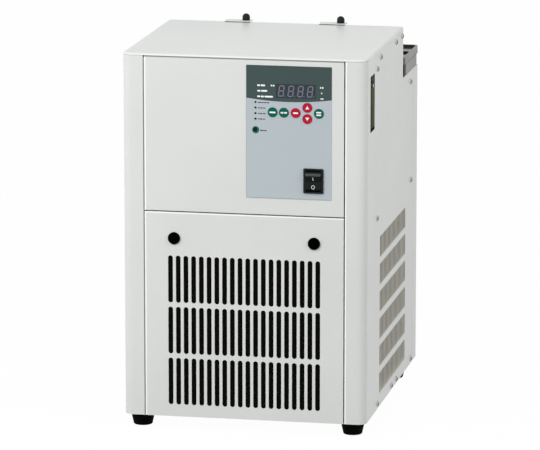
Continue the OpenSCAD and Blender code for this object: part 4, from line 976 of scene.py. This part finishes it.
class CIRCULATOR_OT_rear_fittings(bpy.types.Operator):
    """Makes the barbs of the hose nozzles and the pins of the power inlet"""

    bl_idname = "circulator.rear_fittings"
    bl_label = "Rear fittings"

    def execute(self, context):
        steel = rolled_metal("turned steel", context.scene.circulator_colours.stainless, 0.26)
        spots = [(at(x, y, z), Vector((0, 1, 0))) for x, z in NOZZLES for y in BARB_DEPTHS]
        barb = turned("barb", ((4.8, 0.0), (5.9, 0.0), (5.2, 4.2), (4.8, 4.2)), 40)
        repeat("nozzle_barbs", barb, spots, "housing", steel)
        pins = [centred(BLADE_WIDE, BLADE_TALL, INLET[0] + x, INLET[1] + z) for x, z in BLADES]
        metal = rolled_metal("pin metal", (0.62, 0.60, 0.55), 0.3)
        finish_piece(solid("inlet_pins", pins, *BLADE_DEPTHS), metal, "housing")
        return {"FINISHED"}


class CIRCULATOR_OT_stage(bpy.types.Operator):
    """Sets the floor, the soft lights, the white surround and the camera"""

    bl_idname = "circulator.stage"
    bl_label = "Stage"

    def execute(self, context):
        scene = context.scene
        stage = scene.circulator_stage
        scene.view_settings.view_transform = "Standard"
        data = bpy.data.cameras.new("camera")
        data.lens, data.sensor_width, data.clip_end = stage.lens, SENSOR, FAR
        camera = bpy.data.objects.new("camera", data)
        camera.location = stage.place
        camera.rotation_euler = (math.radians(90) + stage.pitch, 0.0, stage.yaw)
        scene.collection.objects.link(camera)
        scene.camera = camera
        self.surround(scene, stage)
        self.floor(scene)
        for name, place, size, power in LAMPS:
            light = bpy.data.lights.new(name, "AREA")
            light.size, light.energy, light.color = size, power, LAMP_TONE
            lamp = bpy.data.objects.new(name, light)
            lamp.location = place
            lamp.rotation_euler = (LAMP_AIM - Vector(place)).to_track_quat("-Z", "Y").to_euler()
            scene.collection.objects.link(lamp)
        return {"FINISHED"}

    def surround(self, scene, stage):
        world = bpy.data.worlds.new("white surround")
        scene.world = world
        world.use_nodes = True
        tree = world.node_tree
        tree.nodes.clear()
        soft = node(tree, "ShaderNodeBackground", {}, {"Color": SKY, "Strength": stage.ambient})
        white = node(tree, "ShaderNodeBackground", {}, {"Color": WHITE})
        mix = node(tree, "ShaderNodeMixShader", {},
                   {0: self.seen(tree), 1: soft.outputs[0], 2: white.outputs[0]})
        node(tree, "ShaderNodeOutputWorld", {}, {0: mix.outputs[0]})

    def seen(self, tree):
        """1 where a ray from the camera, a reflection or glass meets the surround."""
        path = node(tree, "ShaderNodeLightPath", {}, {})
        total, *others = (path.outputs[name] for name in RAYS)
        for ray in others:
            total = node(tree, "ShaderNodeMath", {"operation": "MAXIMUM"},
                         {0: total, 1: ray}).outputs[0]
        return total

    def floor(self, scene):
        mesh = bmesh.new()
        bmesh.ops.create_grid(mesh, x_segments=1, y_segments=1, size=FLOOR_SIZE)
        ground = hold("floor", mesh)
        material = bpy.data.materials.new("pale floor")
        material.use_nodes = True
        tree = material.node_tree
        base = tree.nodes["Principled BSDF"]
        fill(tree, base.inputs["Base Color"], FLOOR_TONE)
        fill(tree, base.inputs["Roughness"], 0.9)
        glow = node(tree, "ShaderNodeEmission", {}, {"Strength": FLOOR_GLOW})
        share = node(tree, "ShaderNodeMath", {"operation": "MULTIPLY"},
                     {0: self.seen(tree), 1: FLOOR_SHARE})
        mix = node(tree, "ShaderNodeMixShader", {},
                   {0: share.outputs[0], 1: base.outputs[0], 2: glow.outputs[0]})
        fill(tree, tree.nodes["Material Output"].inputs[0], mix.outputs[0])
        ground.data.materials.append(material)


class CIRCULATOR_PT_sidebar(bpy.types.Panel):
    """Lists the steps that dress the circulator"""

    bl_label = "Circulator"
    bl_idname = "CIRCULATOR_PT_sidebar"
    bl_space_type = "VIEW_3D"
    bl_region_type = "UI"
    bl_category = "Circulator"

    def draw(self, context):
        for settings in (context.scene.circulator_colours, context.scene.circulator_prints,
                         context.scene.circulator_stage):
            box = self.layout.box()
            for name in settings.bl_rna.properties.keys():
                if name not in ("rna_type", "name"):
                    box.prop(settings, name)
        for operator in STEPS:
            self.layout.operator(operator.bl_idname)


STEPS = (
    CIRCULATOR_OT_stage, CIRCULATOR_OT_finishes, CIRCULATOR_OT_digits, CIRCULATOR_OT_prints,
    CIRCULATOR_OT_rocker_marks, CIRCULATOR_OT_screws, CIRCULATOR_OT_gauge,
    CIRCULATOR_OT_seams, CIRCULATOR_OT_seals, CIRCULATOR_OT_rear_fittings,
)
CLASSES = (CirculatorColours, CirculatorPrints, CirculatorStage, *STEPS, CIRCULATOR_PT_sidebar)


def register():
    for item in CLASSES:
        bpy.utils.register_class(item)
    scene = bpy.types.Scene
    scene.circulator_colours = PointerProperty(type=CirculatorColours)
    scene.circulator_prints = PointerProperty(type=CirculatorPrints)
    scene.circulator_stage = PointerProperty(type=CirculatorStage)


def unregister():
    del bpy.types.Scene.circulator_stage
    del bpy.types.Scene.circulator_prints
    del bpy.types.Scene.circulator_colours
    for item in reversed(CLASSES):
        bpy.utils.unregister_class(item)


def main():
    register()
    for operator in STEPS:
        getattr(bpy.ops.circulator, operator.bl_idname.split(".")[1])()


if __name__ == "__main__":
    main()
